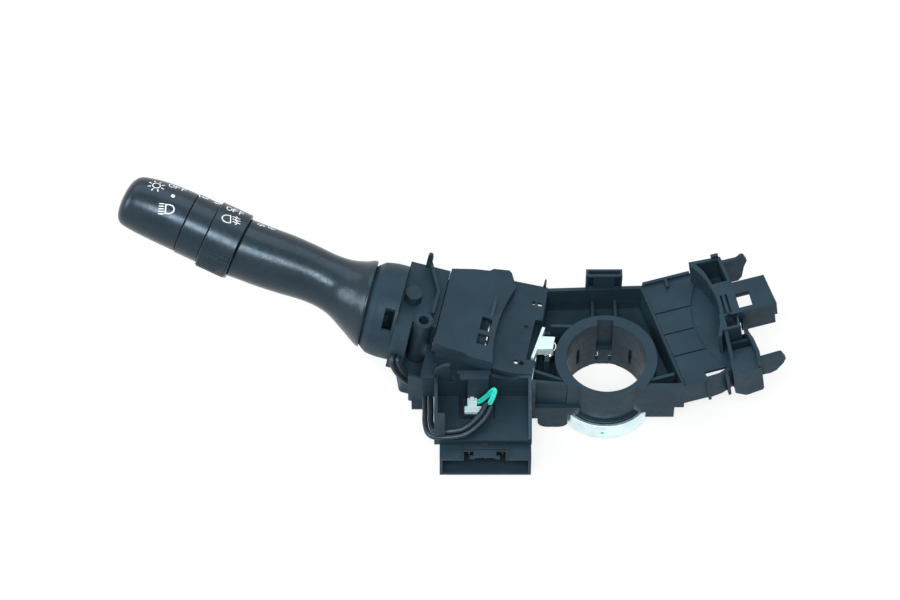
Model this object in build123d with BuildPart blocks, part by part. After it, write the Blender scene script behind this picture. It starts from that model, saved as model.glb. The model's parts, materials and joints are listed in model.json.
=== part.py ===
from build123d import *

import os
from math import cos, radians, sin, sqrt, tan

os.makedirs("parts", exist_ok=True)

# Driving dimensions, in millimetres and degrees.
# The origin is on the column axis at the foot of the collar and +Z points towards the driver.
column_radius = 20.0
collar_height = 36.0
collar_wall = 5.6
rim_drop = 0.4
collar_front_wall = 1.8
finger_height = 11.2
finger_wall = 3.2
slit_width = 1.5
slit_offset = 13.2
key_half_width = 4.0
key_depth = 2.7
wall = 1.8
thin_wall = 1.5
seat_gap = 0.05
run_gap = 0.06
body_gap = 0.3

# Column clamp
band_play = 0.3
band_thickness = 1.5
band_height = 11.0
ear_reach = 8.0
ear_room = 7.0
band_gap = 10.5

# Bracket
front_y = -16.6
well_floor_z = 18.0
skirt_foot_z = 7.0
well_inner = [(-28.5, 40.4), (18.5, 42.2), (37.3, front_y + wall), (-14.0, front_y + wall), (-36.8, -12.6)]
well_outer = [(-30.0, 42.2), (19.6, 44.0), (39.3, front_y), (-14.0, front_y), (-37.3, -14.1)]
end_wall_x = -37.3
lower_wall_y = -18.2
ledge_z = 17.7

# Trays: both sweep back and rise from the collar
tray_sweep = 11.7
tray_rise = 7.8
tray_origin = (29.4, 6.1, collar_height)
tray_floor = 2.0
skirt_depth = 16.5
tray_end = -54.0
bay_wall_height = 16.0

# Clip receptacle behind the well
clip_front, clip_back = 42.0, 46.5
clip_top = 46.6

# Front compartment and its connector
bay_left = -86.0
bay_front = -38.0
bay_back = -12.0
bay_floor_z = 19.0
side_web = 6.5
post_top = collar_height + 6.0
lead_notch = 4.4
connector_left = -83.3
connector_right = -37.6
connector_front = -46.5
connector_back = -24.0
connector_height = 15.1
board_lift = 0.5
window_left, window_right = -73.6, -55.6
window_front, window_back = -25.4, bay_back

# Left-hand switch module, in the left tray's own axes
pivot_x, pivot_y, pivot_z = -71.2, 5.7, -11.0
case_left = -76.5
case_right = -56.2
case_back = 27.0
case_front = -7.5
case_nose_front = -19.0
case_nose_right = -68.5
case_foot = -43.5
plate_top = 5.0
cover_top = 8.0
peg_radius = 4.2
peg_height = 6.0
journal_radius = 3.0
boss_radius = 4.75
boss_bore = 2.5
boss_x, boss_y, boss_top = -63.2, -8.3, 10.0
guard_foot, guard_top = 5.0, 28.0
lead_outlet = (-72.6, -12.0)
board_thickness = 1.6
carrier_foot = -25.0
carrier_top = 2.9
arm_foot = 0.6
board_seat = case_foot + 5.5

# Neck and lever
hood_radius = 24.2
dome_radius = 14.0
hood_start = 5.3
dome_start = 11.0
hood_end = 22.0
hood_face_radius = 17.0
hood_mouth = 14.6
bell_offset = 24.0
handle_sweep = 20.9
handle_rise = 13.5
shell_wall = 1.9
core_radius = 9.0
core_bore = 7.0
rock_pin_radius = 2.0
cheek_half_gap = 7.0
cheek_wall = 2.0
ring_start, ring_end, ring_radius = 68.7, 85.2, 17.0
marker_end, marker_radius = 97.5, 15.7
knob_start, knob_end = 97.8, 132.2
knob_radius, knob_tip_radius = 15.6, 13.6
stem_radius = 5.0
shaft_radius = 3.0
sleeve_radius = 6.8

# Small parts
screw_radius = 1.5
screw_head_radius = 2.9
sheath_radius = 1.7
lead_sides = 10
wire_radius = 0.65
pawl_pivot = (-28.4, 11.2)
pawl_foot, pawl_top = 30.0, 35.0
pawl_hub = 3.2
pawl_pin_radius = 1.2


def direction(side, sweep, rise):
    """Unit vector that points outwards along a tray or the handle."""
    return Vector(
        side * cos(radians(rise)) * cos(radians(sweep)),
        cos(radians(rise)) * sin(radians(sweep)),
        sin(radians(rise)),
    )


def tray_plane(side):
    """Plane of a tray floor: x runs across the car, y away from the camera side, z up."""
    outwards = direction(side, tray_sweep, tray_rise)
    x_dir = outwards * side
    y_dir = Vector(0, 0, 1).cross(x_dir).normalized()
    origin = (side * tray_origin[0], tray_origin[1], tray_origin[2])
    return Plane(origin=origin, x_dir=x_dir, z_dir=x_dir.cross(y_dir))


def level(base, z=0.0):
    """Plane parallel to base at height z."""
    return Plane(origin=base.from_local_coords((0, 0, z)), x_dir=base.x_dir, z_dir=base.z_dir)


def facing(base, y=0.0):
    """Upright plane at y, drawn in base's x and z; it extrudes towards -y."""
    return Plane(origin=base.from_local_coords((0, y, 0)), x_dir=base.x_dir, z_dir=-base.y_dir)


def across(base, x=0.0):
    """Upright plane at x, drawn in base's y and z; it extrudes towards +x."""
    return Plane(origin=base.from_local_coords((x, 0, 0)), x_dir=base.y_dir, z_dir=base.x_dir)


def prism(plane, points, height, mode=Mode.ADD):
    """Extrude a polygon that is drawn on plane."""
    with BuildSketch(plane) as profile:
        with BuildLine():
            Polyline(*points, close=True)
        make_face()
    extrude(profile.sketch, amount=height, mode=mode)


def frame_wall(plane, points, height, thickness, mode=Mode.ADD):
    """Extrude the rim of a polygon, thickness wide and inside its outline."""
    with BuildSketch(plane) as profile:
        with BuildLine():
            Polyline(*points, close=True)
        make_face()
        offset(amount=-thickness, kind=Kind.INTERSECTION, mode=Mode.SUBTRACT)
    extrude(profile.sketch, amount=height, mode=mode)


def slab(base, x, y, z, mode=Mode.ADD):
    """Box between pairs of limits in base's axes."""
    corners = [(x[0], y[0]), (x[1], y[0]), (x[1], y[1]), (x[0], y[1])]
    prism(level(base, z[0]), corners, z[1] - z[0], mode)


def rod(plane, x, y, radius, height, mode=Mode.ADD):
    """Cylinder on plane at x, y."""
    with BuildSketch(plane) as profile:
        with Locations((x, y)):
            Circle(radius)
    extrude(profile.sketch, amount=height, mode=mode)


def ring_sector(plane, centre, radii, angles, height, mode=Mode.ADD):
    """Curved wall between two radii and two angles about centre."""
    inner, outer = radii
    start, end = angles
    with BuildSketch(plane) as profile:
        with BuildLine():
            far = CenterArc(centre, outer, start, end - start)
            near = CenterArc(centre, inner, start, end - start)
            Line(far @ 0, near @ 0)
            Line(far @ 1, near @ 1)
        make_face()
    extrude(profile.sketch, amount=height, mode=mode)


def turned(base, points, mode=Mode.ADD):
    """Revolve (radius, height) points about base's z axis."""
    with BuildSketch(facing(base)) as profile:
        with BuildLine():
            Polyline(*points, close=True)
        make_face()
    revolve(profile.sketch, axis=Axis(base.origin, base.z_dir), mode=mode)


def pipe(points, radius, bend):
    """Round lead along straight runs joined by tangent arcs."""
    radii = []
    for before, corner, after in zip(points, points[1:], points[2:]):
        run_in = corner - before
        run_out = after - corner
        half_turn = radians(run_in.get_angle(run_out)) / 2
        radii.append(bend * min(run_in.length, run_out.length) / tan(half_turn))
    with BuildLine() as path:
        FilletPolyline(*[tuple(point) for point in points], radius=radii)
    with BuildSketch(Plane(origin=path.line @ 0, z_dir=path.line % 0)) as section:
        RegularPolygon(radius, lead_sides)
    sweep(section.sketch, path=path.line)


def save(piece, label):
    """Name a finished piece and write it as one STEP file."""
    piece.part.label = label
    export_step(piece.part, f"parts/{label}.step")


LEFT = tray_plane(-1)
RIGHT = tray_plane(1)
pivot = LEFT.from_local_coords((pivot_x, pivot_y, pivot_z))
NECK = Plane(origin=pivot, x_dir=LEFT.z_dir, z_dir=-LEFT.x_dir)
bell_centre = NECK.from_local_coords((0, 0, bell_offset))
handle_dir = direction(-1, handle_sweep, handle_rise)
handle_up = (Vector(0, 0, 1) - handle_dir * handle_dir.Z).normalized()
HANDLE = Plane(origin=bell_centre, x_dir=handle_up, z_dir=handle_dir)

collar_radius = column_radius + collar_wall
finger_radius = column_radius + finger_wall
band_inner = finger_radius + band_play
band_outer = band_inner + band_thickness

# Column bracket: collar, open well and left-hand tray
tray_front = -19.8
left_tray = [(-6.4, 35.2), (-4.0, tray_front), (tray_end, tray_front), (tray_end, 33.0), (-24.0, 34.2)]
with BuildPart() as column_bracket:
    prism(Plane.XY.offset(skirt_foot_z), well_outer, collar_height - rim_drop - skirt_foot_z)
    prism(Plane.XY.offset(well_floor_z), well_inner, collar_height, Mode.SUBTRACT)
    under_floor = well_floor_z - tray_floor - skirt_foot_z
    prism(Plane.XY.offset(skirt_foot_z), well_inner, under_floor, Mode.SUBTRACT)
    # tray floor, its rear and end skirts and the ribs under it
    prism(level(LEFT, -tray_floor), left_tray, tray_floor)
    slab(LEFT, (tray_end, -9.0), (33.0 - wall, 33.0), (-12.0, -1.0))
    slab(LEFT, (tray_end, tray_end + wall), (tray_front, 33.0), (-skirt_depth, -1.0))
    slab(LEFT, (tray_end, -8.0), (tray_front, tray_front + wall), (-skirt_depth - 2.0, -1.0))
    for rib_y in (-8.0, 4.0, 16.0):
        slab(LEFT, (tray_end + 1, -14.0), (rib_y, rib_y + thin_wall), (-8.0, -1.0))
    prism(level(LEFT, -tray_floor), [(-9.0, 34.9), (-7.4, 34.9), (-7.9, 39.2), (-8.7, 39.2)], tray_floor + 1.0)
    prism(Plane.XY.offset(well_floor_z), well_inner, collar_height - well_floor_z, Mode.SUBTRACT)
    # ribs that tie the collar to the walls
    for rib in ([(-33.6, 21.0), (-33.4, 19.4), (-16.0, 19.0), (-16.0, 20.6)],
                [(-36.2, -6.0), (-36.0, -7.6), (-20.0, -13.8), (-19.0, -12.6)],
                [(19.0, -14.0), (34.0, -9.5), (33.4, -8.0), (18.0, -12.6)],
                [(-6.5, 22.0), (-5.0, 22.0), (-5.0, 41.2), (-6.5, 41.2)],
                [(5.0, 22.0), (6.5, 22.0), (6.5, 41.8), (5.0, 41.8)]):
        rib_top = collar_height - 1.0 if abs(rib[0][0]) > 10 else well_floor_z + 8.0
        prism(Plane.XY.offset(well_floor_z - 1), rib, rib_top - well_floor_z + 1)
    slab(Plane.XY, (-30.9, -28.4), (-1.5, 2.6), (well_floor_z - 1, collar_height - 1.0))
    # step in the foot of the front wall
    slab(Plane.XY, (34.6, 42.0), (front_y - 1, -8.0), (0.0, well_floor_z - tray_floor), Mode.SUBTRACT)
    # collar: full wall behind, thin wall where it bulges out of the front
    rod(Plane.XY.offset(finger_height), 0, 0, column_radius + collar_front_wall, collar_height - finger_height)
    with BuildSketch(Plane.XY.offset(finger_height)) as collar_section:
        Circle(collar_radius)
        with Locations((0, front_y - collar_radius)):
            Rectangle(2 * collar_radius, 2 * collar_radius, mode=Mode.SUBTRACT)
    extrude(collar_section.sketch, amount=collar_height - finger_height)
    # ledge and lower wall at the front left, with its rounded foot
    prism(Plane.XY.offset(ledge_z - wall), [(-12.0, front_y + 1), (end_wall_x, front_y + 1),
                                            (end_wall_x, lower_wall_y), (-30.0, lower_wall_y)], wall)
    slab(Plane.XY, (end_wall_x, end_wall_x + wall), (lower_wall_y, -13.0), (8.0, collar_height))
    with BuildSketch(facing(Plane.XY, lower_wall_y + wall)) as lower_wall:
        with BuildLine():
            Polyline((end_wall_x, 8.0), (-34.0, 8.0), (-34.0, 0.0), (-18.5, 0.0), (-18.5, 8.0),
                     (-13.0, 13.0), (-13.0, ledge_z), (end_wall_x, ledge_z), close=True)
        make_face()
        fillet(lower_wall.vertices().group_by(Axis.Y)[0], 5.0)
    extrude(lower_wall.sketch, amount=wall)
    slab(Plane.XY, (-29.0, -26.0), (lower_wall_y + wall, -12.0), (6.0, ledge_z - wall))
    # the band's room under the walls, then the split fingers inside it
    rod(Plane.XY, 0, 0, band_outer + 1.2, finger_height, Mode.SUBTRACT)
    rod(Plane.XY, 0, 0, finger_radius, finger_height + 1)
    # clip receptacle on the rear wall, with a slot each side of its middle panel
    slab(Plane.XY, (-9.4, 8.9), (clip_front, clip_back), (26.0, clip_top))
    slab(Plane.XY, (-8.2, 7.7), (clip_front + 1.5, clip_back - 1.2), (collar_height - 6.0, clip_top + 1), Mode.SUBTRACT)
    for slot in ((-8.2, -5.6), (5.1, 7.7)):
        slab(Plane.XY, slot, (clip_front - 1, clip_front + 2), (collar_height, clip_top - 1.2), Mode.SUBTRACT)
    # room for the band's ears with a block between them, key way, bore and slits
    slab(Plane.XY, (-ear_room, ear_room), (0, 30.0), (0, finger_height), Mode.SUBTRACT)
    slab(Plane.XY, (-2.6, 2.6), (column_radius - 1, finger_radius), (0, finger_height + 0.5))
    slab(Plane.XY, (-key_half_width, key_half_width), (0, column_radius + key_depth),
         (finger_height + 1.5, collar_height), Mode.SUBTRACT)
    rod(Plane.XY, 0, 0, column_radius, collar_height, Mode.SUBTRACT)
    for slit_x in (-slit_offset, slit_offset):
        slab(Plane.XY, (slit_x - slit_width / 2, slit_x + slit_width / 2), (0, 18.0), (7.2, 20.1), Mode.SUBTRACT)
        slab(Plane.XY, (slit_x - slit_width / 2, slit_x + slit_width / 2), (-22.5, 0), (0, finger_height),
             Mode.SUBTRACT)
    # the front compartment starts here
    slab(Plane.XY, (-90.0, end_wall_x), (-60.0, bay_back + wall), (0.0, 60.0), Mode.SUBTRACT)
    # window in the left wall where the cancelling pawl looks into the well
    prism(Plane.XY.offset(28.0), [(-40.2, -1.8), (-31.0, -1.8), (-27.0, 22.0), (-35.2, 22.0)], 14.0,
          Mode.SUBTRACT)
    # post that carries the pawl's pin
    rod(Plane.XY.offset(well_floor_z - 1), *pawl_pivot, pawl_hub, pawl_foot - body_gap - well_floor_z + 1)
    rod(Plane.XY.offset(well_floor_z + 2), *pawl_pivot, pawl_pin_radius + seat_gap, 12.0, Mode.SUBTRACT)
    # small through holes in the tray and the holes for the module's screws
    for hole_x, hole_y in ((-11.4, 24.2), (-13.6, -12.6)):
        rod(level(LEFT, -tray_floor - 1), hole_x, hole_y, 1.2, tray_floor + 2, Mode.SUBTRACT)
        slab(LEFT, (hole_x + 1.7, hole_x + 4.0), (hole_y - 1.0, hole_y + 1.0), (-tray_floor - 1, 1.0),
             Mode.SUBTRACT)
    rod(level(LEFT, -1.2), -12.6, 9.0, 1.1, 2.0, Mode.SUBTRACT)
    for screw_x, screw_y in ((-44.0, 25.0), (-44.0, -13.0)):
        rod(level(LEFT, -tray_floor - 1), screw_x, screw_y, screw_radius + seat_gap, tray_floor + 2,
            Mode.SUBTRACT)
save(column_bracket, "column_bracket")

# Wiper switch bay: the empty right-hand tray, with its arc wall, latch loop and guide horns
bay_floor = [(-6.0, 40.2), (22.4, 39.8), (27.0, 34.5), (31.4, 22.0), (31.4, -13.0), (31.0, -26.0),
             (28.7, -21.6), (26.6, -22.4), (22.7, -23.9), (17.2, -24.6), (14.9, -24.3), (-2.0, -24.3)]
arc_centre = (-10.8, 8.5)
arc_radius = 42.4
with BuildPart() as wiper_switch_bay:
    prism(level(RIGHT, -tray_floor), bay_floor, tray_floor)
    frame_wall(level(RIGHT, -skirt_depth), bay_floor, skirt_depth, wall)
    for rib_x in (5.0, 12.0):
        slab(RIGHT, (rib_x, rib_x + thin_wall), (-23.5, 38.5), (-9.0, -1.0))
    # upright ribs on the front skirt
    for rib_x in (15.2, 25.4):
        slab(RIGHT, (rib_x, rib_x + thin_wall), (-26.0, -22.4), (-skirt_depth, -0.4))
    rod(level(RIGHT, -0.8), 62.0, 8.8, 45.0, 3.0, Mode.SUBTRACT)
    # rear rail with its lip and short rib
    slab(RIGHT, (-6.0, 22.4), (38.4, 39.9), (0.0, 1.6))
    slab(RIGHT, (9.3, 10.5), (33.5, 38.6), (-0.5, 2.4))
    # arc wall that the wiper switch turns against
    ring_sector(level(RIGHT, -tray_floor), arc_centre, (arc_radius - 0.9, arc_radius + 0.9), (-27.5, 37.5),
                tray_floor + bay_wall_height)
    # pocket behind the arc wall
    with BuildSketch(level(RIGHT, -tray_floor)) as pocket:
        with BuildLine():
            Polyline((22.4, 35.6), (38.4, 34.4), (40.3, 17.7), (29.4, 17.7), (27.5, 26.0), close=True)
        make_face()
    extrude(pocket.sketch, amount=tray_floor + bay_wall_height)
    prism(level(RIGHT, 0.0), [(25.6, 33.6), (36.8, 32.8), (38.4, 19.5), (30.6, 19.5), (28.6, 28.0)],
          bay_wall_height + 1, Mode.SUBTRACT)
    slab(RIGHT, (33.8, 37.5), (34.0, 35.6), (bay_wall_height - 4, bay_wall_height + 2))
    # upper guide horn
    with BuildSketch(facing(RIGHT, 32.0)) as upper_horn:
        with BuildLine():
            Polyline((38.0, 16.0), (45.9, 15.8), (49.2, 18.8), (51.1, 13.0), (49.2, 7.8), (47.6, -0.5),
                     (45.5, -3.4), (42.4, -3.4), (38.6, 2.0), close=True)
        make_face()
        fillet(upper_horn.vertices().sort_by(Axis.X)[-5:], 1.2)
    extrude(upper_horn.sketch, amount=wall)
    # latch loop: top plate with its window, rear wall and stepped front wall
    prism(level(RIGHT, bay_wall_height - wall), [(29.4, 17.7), (56.6, 17.7), (58.7, -0.4), (36.0, -0.4),
                                                 (36.0, 12.0), (30.9, 12.0)], wall)
    slab(RIGHT, (30.9, 56.6), (17.7 - wall, 17.7), (4.0, bay_wall_height))
    slab(RIGHT, (36.0, 58.6), (-0.4, -0.4 + wall), (6.0, bay_wall_height))
    slab(RIGHT, (40.0, 57.4), (0.6, 0.6 + wall), (-3.0, 6.0))
    slab(RIGHT, (40.2, 47.0), (2.2, 10.6), (10.0, bay_wall_height + 1), Mode.SUBTRACT)
    # small open block and latch strip beside the arc wall
    slab(RIGHT, (29.4, 38.3), (-8.4, 0.9), (5.0, bay_wall_height))
    slab(RIGHT, (31.8, 36.9), (-7.0, -0.5), (6.5, bay_wall_height + 1), Mode.SUBTRACT)
    slab(RIGHT, (33.4, 34.8), (0.0, 11.9), (5.0, bay_wall_height + 1))
    # sunk plate between the arc wall and the latch, floor below the block and the wall beside it
    slab(RIGHT, (30.6, 40.0), (-0.4, 16.5), (11.0, 12.6))
    slab(RIGHT, (29.0, 42.0), (-14.5, 1.5), (-9.6, -8.0))
    prism(across(RIGHT, 29.6), [(-6.5, -10.0), (-6.5, 15.0), (-9.0, 15.0), (-20.0, 4.5), (-20.0, -10.0)], wall)
    # outer wall, cross rib and the closed box at the front
    outer_wall = [(42.6, 1.0), (41.8, -8.8), (43.2, -13.5), (44.1, -21.6), (43.5, -27.0)]
    prism(level(RIGHT, -skirt_depth), outer_wall + [(x - wall, y) for x, y in reversed(outer_wall)],
          skirt_depth + 10)
    slab(RIGHT, (29.6, 42.0), (-10.8, -9.3), (-8.0, 5.0))
    slab(RIGHT, (29.0, 42.6), (-8.4, -7.0), (-skirt_depth, 0.0))
    with BuildSketch(level(RIGHT, -skirt_depth)) as box_section:
        with BuildLine():
            Polyline((29.4, -14.0), (43.4, -14.0), (44.1, -21.6), (43.0, -27.6), (34.0, -28.6), (29.0, -25.8),
                     close=True)
        make_face()
        fillet(box_section.vertices().group_by(Axis.Y)[0], 3.0)
    extrude(box_section.sketch, amount=skirt_depth + 4.5)
    prism(level(RIGHT, -skirt_depth), [(31.2, -15.8), (41.6, -15.8), (42.2, -21.6), (41.4, -25.6),
                                       (34.0, -26.6), (31.2, -24.6)], skirt_depth + 2.7, Mode.SUBTRACT)
    # lower guide horn
    with BuildSketch(facing(RIGHT, -23.4)) as lower_horn:
        with BuildLine():
            Polyline((42.6, 8.6), (54.3, 9.3), (56.3, 3.6), (54.8, -0.5), (51.0, -5.5), (47.8, -6.9),
                     (42.6, -6.5), close=True)
        make_face()
        fillet(lower_horn.vertices().sort_by(Axis.X)[-3:], 1.6)
    extrude(lower_horn.sketch, amount=wall)
    # grooves and the long gap in the floor
    for groove_y in (20.4, 7.2, -6.4):
        slab(RIGHT, (0.0, 20.8), (groove_y - 0.4, groove_y + 0.4), (-1.0, 1.0), Mode.SUBTRACT)
    prism(level(RIGHT, -skirt_depth - 1), [(15.6, -19.5), (28.0, -19.4), (26.6, -20.4), (22.7, -22.0),
                                           (16.4, -22.4)], skirt_depth + 2, Mode.SUBTRACT)
    # the bay ends on the bracket's right-hand wall
    prism(Plane.XY, [well_outer[1], well_outer[2], (39.3, -60.0), (-40.0, -60.0), (-40.0, 80.0),
                     (8.0, 80.0)], 80.0, Mode.SUBTRACT)
save(wiper_switch_bay, "wiper_switch_bay")

# Front compartment: floor with its window, wavy rear wall, side walls and cable post
rim = collar_height + 11.0
with BuildPart() as connector_bay:
    slab(Plane.XY, (bay_left, end_wall_x), (bay_front, bay_back + wall), (bay_floor_z - thin_wall, bay_floor_z))
    slab(Plane.XY, (bay_left, end_wall_x), (bay_front, bay_front + wall), (connector_height, bay_floor_z))
    with BuildSketch(facing(Plane.XY, bay_back + wall)) as rear_wall:
        with BuildLine():
            Line((bay_left, bay_floor_z), (bay_left, rim - 8.0))
            RadiusArc((bay_left, rim - 8.0), (bay_left + 6.6, rim), 8.0)
            Polyline((bay_left + 6.6, rim), (bay_left + 8.0, rim), (bay_left + 8.0, rim - 15.0),
                     (bay_left + 11.4, rim - 15.0), (bay_left + 11.4, rim - 6.6), (-58.0, rim - 6.6),
                     (-57.0, rim - 9.4), (-52.0, rim - 11.4), (-47.2, rim - 12.8), (-45.4, rim - 12.2),
                     (-43.5, rim - 10.6), (end_wall_x, rim - 10.6), (end_wall_x, bay_floor_z),
                     (bay_left, bay_floor_z))
        make_face()
    extrude(rear_wall.sketch, amount=wall)
    # web that closes the gap to the switch case
    slab(Plane.XY, (bay_left - side_web, bay_left + 1), (bay_back, bay_back + wall), (bay_floor_z, rim - 11.0))
    # latch tongue that stands off the rear wall
    slab(Plane.XY, (-73.2, -58.8), (bay_back - 3.4, bay_back + 0.5), (rim - 8.4, rim - 6.6))
    slab(Plane.XY, (-69.4, -58.8), (bay_back - 3.4, bay_back - 3.4 + thin_wall), (22.5, rim - 6.6))
    # left wall with its rounded top and the post that turns the lead
    with BuildSketch(across(Plane.XY, bay_left)) as left_wall:
        with BuildLine():
            Polyline((bay_front, connector_height), (bay_front, post_top), (bay_back + wall / 2, post_top - 4.5),
                     (bay_back + wall / 2, 6.0), (bay_front + 8.0, 6.0), close=True)
        make_face()
        fillet(left_wall.vertices().group_by(Axis.Z)[-1], 3.0)
    extrude(left_wall.sketch, amount=wall)
    slab(Plane.XY, (bay_left, bay_left + 5.4), (bay_front, bay_front + wall), (bay_floor_z, post_top))
    # notch under the post, where the lead comes in
    slab(Plane.XY, (bay_left - 1, bay_left + 6.0), (bay_front - 1, bay_front + 7.0),
         (bay_floor_z, bay_floor_z + lead_notch), Mode.SUBTRACT)
    slab(Plane.XY, (bay_left - 1, bay_left + 3.0), (bay_front + 1.4, bay_front + 7.0),
         (bay_floor_z - thin_wall, bay_floor_z + 1), Mode.SUBTRACT)
    # sloping gusset wall on the right
    prism(across(Plane.XY, end_wall_x - wall), [(bay_back, rim - 10.6), (bay_back, connector_height),
                                                (bay_front, connector_height), (bay_front, bay_floor_z + 1)],
          wall)
    slab(Plane.XY, (window_left, window_right), (window_front, window_back), (bay_floor_z - 3, bay_floor_z + 3),
         Mode.SUBTRACT)
    # the bay ends on the bracket's end wall
    slab(Plane.XY, (end_wall_x, 0.0), (-60.0, 30.0), (0.0, 60.0), Mode.SUBTRACT)
save(connector_bay, "connector_bay")

# Column clamp: sprung band round the fingers, open behind, with two turned-out ears
with BuildPart() as column_clamp:
    ring_sector(Plane.XY, (0, 0), (band_inner, band_outer), (90 + band_gap, 450 - band_gap), band_height)
    for side in (-1, 1):
        end_angle = 90 + side * band_gap
        ear = Plane(origin=(0, 0, 0), x_dir=Vector(cos(radians(end_angle)), sin(radians(end_angle)), 0),
                    z_dir=(0, 0, 1))
        thickness = (0.0, -side * band_thickness)
        slab(ear, (band_inner, band_outer + ear_reach), (min(thickness), max(thickness)),
             (2.5, band_height - 2.5))
save(column_clamp, "column_clamp")

# Main connector: socket that faces the front, with its latch window
with BuildPart() as main_connector:
    slab(Plane.XY, (connector_left, connector_right), (connector_front, connector_back), (0.0, connector_height))
    slab(Plane.XY, (connector_left + thin_wall, connector_right - thin_wall),
         (connector_front, connector_front + 15.0), (thin_wall, connector_height - thin_wall), Mode.SUBTRACT)
    slab(Plane.XY, (-71.2, -50.4), (connector_front, connector_front + 5.0), (4.0, connector_height),
         Mode.SUBTRACT)
    slab(Plane.XY, (-66.4, -55.0), (connector_front + 1.6, connector_front + 5.4),
         (connector_height - 1.6, connector_height))
    for hook_x in (-68.2, -55.6):
        slab(Plane.XY, (hook_x, hook_x + 2.4), (connector_front + 1.6, connector_front + 2.8),
             (connector_height - 2.8, connector_height - 0.9))
    for post_x in (-78.0, -44.0):
        slab(Plane.XY, (post_x, post_x + 3.0), (connector_back, connector_back + 3.0),
             (0.0, connector_height))
        slab(Plane.XY, (post_x, post_x + 3.0), (connector_back - 6.0, connector_back + 3.0),
             (connector_height, connector_height + board_lift))
save(main_connector, "main_connector")

board_z = connector_height + board_lift
terminal_pitch = 4.2
with BuildPart() as connector_terminals:
    for row_z in (4.4, 9.6):
        for column in range(9):
            pin_x = -77.3 + column * terminal_pitch
            slab(Plane.XY, (pin_x, pin_x + 0.7), (connector_front + 6.5, connector_front + 15.0),
                 (row_z, row_z + 0.7))
save(connector_terminals, "connector_terminals")

with BuildPart() as connector_board:
    slab(Plane.XY, (connector_left + 2.3, connector_right - 3.4), (connector_back - 7.0, bay_back - 1.0),
         (board_z, board_z + board_thickness))
save(connector_board, "connector_board")

header_z = board_z + board_thickness
with BuildPart() as aux_header:
    slab(Plane.XY, (-71.6, -61.2), (-24.0, -14.6), (header_z, header_z + 3.2))
    slab(Plane.XY, (-70.9, -61.9), (-23.3, -15.3), (header_z + 1.0, header_z + 3.2), Mode.SUBTRACT)
save(aux_header, "aux_header")

with BuildPart() as aux_plug:
    slab(Plane.XY, (-70.8, -62.0), (-23.2, -19.6), (header_z + 1.0, 22.0))
    slab(Plane.XY, (-69.4, -64.6), (-19.6, -15.4), (header_z + 1.0, 23.0))
    slab(Plane.XY, (-68.0, -66.0), (-17.4, -15.4), (23.0, 24.2))
save(aux_plug, "aux_plug")

# Switch case: lower half of the switch module, with the boss column in its open niche
nose = [(case_left, case_front + 1), (case_left, case_nose_front), (case_nose_right, case_nose_front),
        (case_nose_right, case_front + 1)]
foot_front = case_nose_front - 0.4
foot_step = case_right + 2.0
foot = [(case_left, 1.0), (-70.6, -10.0), (-67.0, foot_front), (foot_step, foot_front), (foot_step, case_front),
        (case_right, case_front), (case_right, case_back), (case_left, case_back)]
toe = [(case_left - 5.1, 2.0), (case_left + 1, 1.0), (case_left + 1, case_back), (case_left - 5.1, case_back)]
neck_foot = pivot_z - hood_radius - body_gap
case_rim = plate_top - wall
cavity = ((case_left + wall, case_right - wall), (case_front + wall, case_back - wall))
guard = [(-99.3, -5.5), (-91.2, -7.7), (-90.9, -6.2), (-99.0, -4.0)]
with BuildPart() as switch_case:
    with BuildSketch(level(LEFT, case_foot)) as foot_section:
        with BuildLine():
            Polyline(*foot, close=True)
        make_face()
        fillet(foot_section.vertices().group_by(Axis.Y)[0], 2.5)
    extrude(foot_section.sketch, amount=-24.0 - case_foot)
    prism(level(LEFT, case_foot), toe, neck_foot - case_foot)
    slab(LEFT, (case_left, case_right), (case_front, case_back), (-30.0, case_rim))
    prism(level(LEFT, -24.0), nose, 24.0 + case_rim)
    rod(level(LEFT, -30.0), boss_x, boss_y, boss_radius, boss_top + 30.0)
    slab(LEFT, *cavity, (case_foot + wall, case_rim), Mode.SUBTRACT)
    slab(LEFT, (case_left - 1, case_left + wall + 1), (pivot_y - 12.0, pivot_y + 12.0), (-27.0, case_rim),
         Mode.SUBTRACT)
    slab(LEFT, (case_right - wall - 1, case_right + 1), (pivot_y - 9.0, pivot_y + 9.0), (0.2, case_rim),
         Mode.SUBTRACT)
    rod(level(LEFT, boss_top), boss_x, boss_y, boss_bore, -18.0, Mode.SUBTRACT)
    # ledges under the contact board and bearing of the carrier's lower journal
    for ledge_y in (cavity[1][0] - 0.5, cavity[1][1] - 1.5):
        slab(LEFT, (case_left + 1, case_right - 1), (ledge_y, ledge_y + 2.0), (case_foot + 1, board_seat))
    rod(level(LEFT, case_foot + 1), pivot_x, pivot_y, journal_radius + 2.0, carrier_foot - body_gap - case_foot - 1)
    rod(level(LEFT, carrier_foot - 7.0), pivot_x, pivot_y, journal_radius + run_gap, 8.0, Mode.SUBTRACT)
    # guard plate that keeps the lead against the case, on its rounded foot
    prism(Plane.XY.offset(guard_foot), guard, guard_top - guard_foot)
    prism(across(Plane.XY, -97.6), [(-5.4, 10.0), (-7.6, 7.0), (-8.4, 1.5), (-6.4, -2.2), (0.0, -2.6),
                                    (3.6, 0.0), (4.2, 10.0)], 7.4)
    # ledge that reaches below the tray's end
    slab(LEFT, (case_right - 1, tray_end - body_gap), (case_front, case_back),
         (-tray_floor - body_gap - wall, -tray_floor - body_gap))
    # outlet of the lead in the nose
    rod(facing(LEFT, case_front), *lead_outlet, sheath_radius + seat_gap, 20.0, Mode.SUBTRACT)
    slab(LEFT, (case_left + wall, case_nose_right - wall), (case_nose_front + wall, case_front + wall + 1),
         (-22.0, case_rim), Mode.SUBTRACT)
save(switch_case, "switch_case")

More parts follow.
